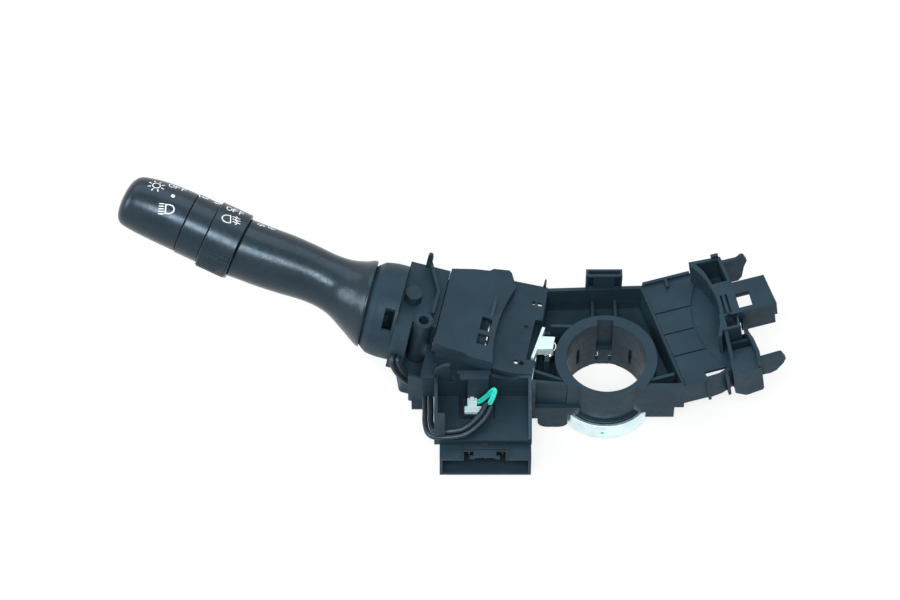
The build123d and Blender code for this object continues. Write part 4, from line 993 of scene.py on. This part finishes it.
class STALK_OT_stage(bpy.types.Operator):
    """Set the pale floor, the lights and the camera"""

    bl_idname = "stalk.stage"
    bl_label = "Stage"

    def execute(self, context):
        self.floor(context.scene)
        self.sky(context.scene)
        self.lamps(context.scene)
        self.camera(context.scene)
        context.scene.view_settings.view_transform = "Standard"
        return {"FINISHED"}

    def floor(self, scene):
        """Floor that shows white and still takes the object's shadow."""
        low = CAD_BOX[0][2]
        mesh = bpy.data.meshes.new("floor")
        mesh.from_pydata([(x * FLOOR_REACH, y * FLOOR_REACH, low) for x, y in ((-1, -1), (1, -1), (1, 1), (-1, 1))],
                         [], [(0, 1, 2, 3)])
        floor = bpy.data.objects.new("floor", mesh)
        scene.collection.objects.link(floor)
        material = bpy.data.materials.new("pale_floor")
        material.use_nodes = True
        tree = material.node_tree
        tree.nodes.clear()
        matte = tree.nodes.new("ShaderNodeBsdfDiffuse")
        matte.inputs["Color"].default_value = (*scene.stalk_stage.floor_colour, 1.0)
        glow = tree.nodes.new("ShaderNodeEmission")
        glow.inputs["Color"].default_value = (1.0, 1.0, 1.0, 1.0)
        glow.inputs["Strength"].default_value = 1.0
        share = tree.nodes.new("ShaderNodeMath")
        share.operation = "MULTIPLY"
        share.inputs[1].default_value = FLOOR_WHITE
        mix = tree.nodes.new("ShaderNodeMixShader")
        out = tree.nodes.new("ShaderNodeOutputMaterial")
        tree.links.new(background_rays(tree), share.inputs[0])
        tree.links.new(share.outputs[0], mix.inputs["Fac"])
        tree.links.new(matte.outputs[0], mix.inputs[1])
        tree.links.new(glow.outputs[0], mix.inputs[2])
        tree.links.new(mix.outputs[0], out.inputs["Surface"])
        mesh.materials.append(material)

    def sky(self, scene):
        """Even light from all round, with a white background."""
        world = bpy.data.worlds.new("studio")
        scene.world = world
        world.use_nodes = True
        tree = world.node_tree
        tree.nodes.clear()
        mix = tree.nodes.new("ShaderNodeMixShader")
        out = tree.nodes.new("ShaderNodeOutputWorld")
        for slot, colour, strength in ((1, SKY_COLOUR, scene.stalk_stage.sky), (2, (1.0, 1.0, 1.0), 1.0)):
            light = tree.nodes.new("ShaderNodeBackground")
            light.inputs["Color"].default_value = (*colour, 1.0)
            light.inputs["Strength"].default_value = strength
            tree.links.new(light.outputs[0], mix.inputs[slot])
        tree.links.new(background_rays(tree), mix.inputs["Fac"])
        tree.links.new(mix.outputs[0], out.inputs["Surface"])

    def lamps(self, scene):
        """Three soft lamps that aim at the middle of the switch."""
        for name, place, (width, depth), share in LAMPS:
            lamp = bpy.data.lights.new(name, "AREA")
            lamp.shape = "RECTANGLE"
            lamp.size = width
            lamp.size_y = depth
            lamp.energy = scene.stalk_stage.key_power * share
            holder = bpy.data.objects.new(name, lamp)
            scene.collection.objects.link(holder)
            holder.location = place
            holder.rotation_euler = (LAMP_AIM - Vector(place)).to_track_quat("-Z", "Y").to_euler()

    def camera(self, scene):
        """Camera in front of the connector, tilted down."""
        camera = bpy.data.objects.new("camera", bpy.data.cameras.new("camera"))
        scene.collection.objects.link(camera)
        camera.data.lens = CAMERA_LENS
        camera.data.sensor_width = 36.0
        camera.location = CAMERA_PLACE
        camera.rotation_euler = (math.radians(CAMERA_TILT), 0.0, 0.0)
        scene.camera = camera


class STALK_PT_panel(bpy.types.Panel):
    """Settings and steps of the stalk switch"""

    bl_idname = "STALK_PT_panel"
    bl_label = "Stalk Switch"
    bl_space_type = "VIEW_3D"
    bl_region_type = "UI"
    bl_category = "Stalk Switch"

    def draw(self, context):
        for group in (context.scene.stalk_finish, context.scene.stalk_marks, context.scene.stalk_stage):
            box = self.layout.box()
            for name in group.__annotations__:
                box.prop(group, name)
        for operator in OPERATORS:
            self.layout.operator(operator.bl_idname)


OPERATORS = (STALK_OT_stage, STALK_OT_bracket, STALK_OT_connector, STALK_OT_module, STALK_OT_lever,
             STALK_OT_marks, STALK_OT_lead, STALK_OT_webs, STALK_OT_hardware)
GROUPS = {"stalk_finish": StalkFinish, "stalk_marks": StalkMarks, "stalk_stage": StalkStage}


def register():
    """Register the settings, the operators and the panel."""
    for cls in (*GROUPS.values(), *OPERATORS, STALK_PT_panel):
        bpy.utils.register_class(cls)
    for name, group in GROUPS.items():
        setattr(bpy.types.Scene, name, bpy.props.PointerProperty(type=group))


def unregister():
    """Take everything off again."""
    for name in GROUPS:
        delattr(bpy.types.Scene, name)
    for cls in (STALK_PT_panel, *reversed(OPERATORS), *GROUPS.values()):
        bpy.utils.unregister_class(cls)


def main():
    """Build every piece in order."""
    register()
    bpy.ops.stalk.stage()
    bpy.ops.stalk.bracket()
    bpy.ops.stalk.connector()
    bpy.ops.stalk.module()
    bpy.ops.stalk.lever()
    bpy.ops.stalk.marks()
    bpy.ops.stalk.lead()
    bpy.ops.stalk.webs()
    bpy.ops.stalk.hardware()


if __name__ == "__main__":
    main()
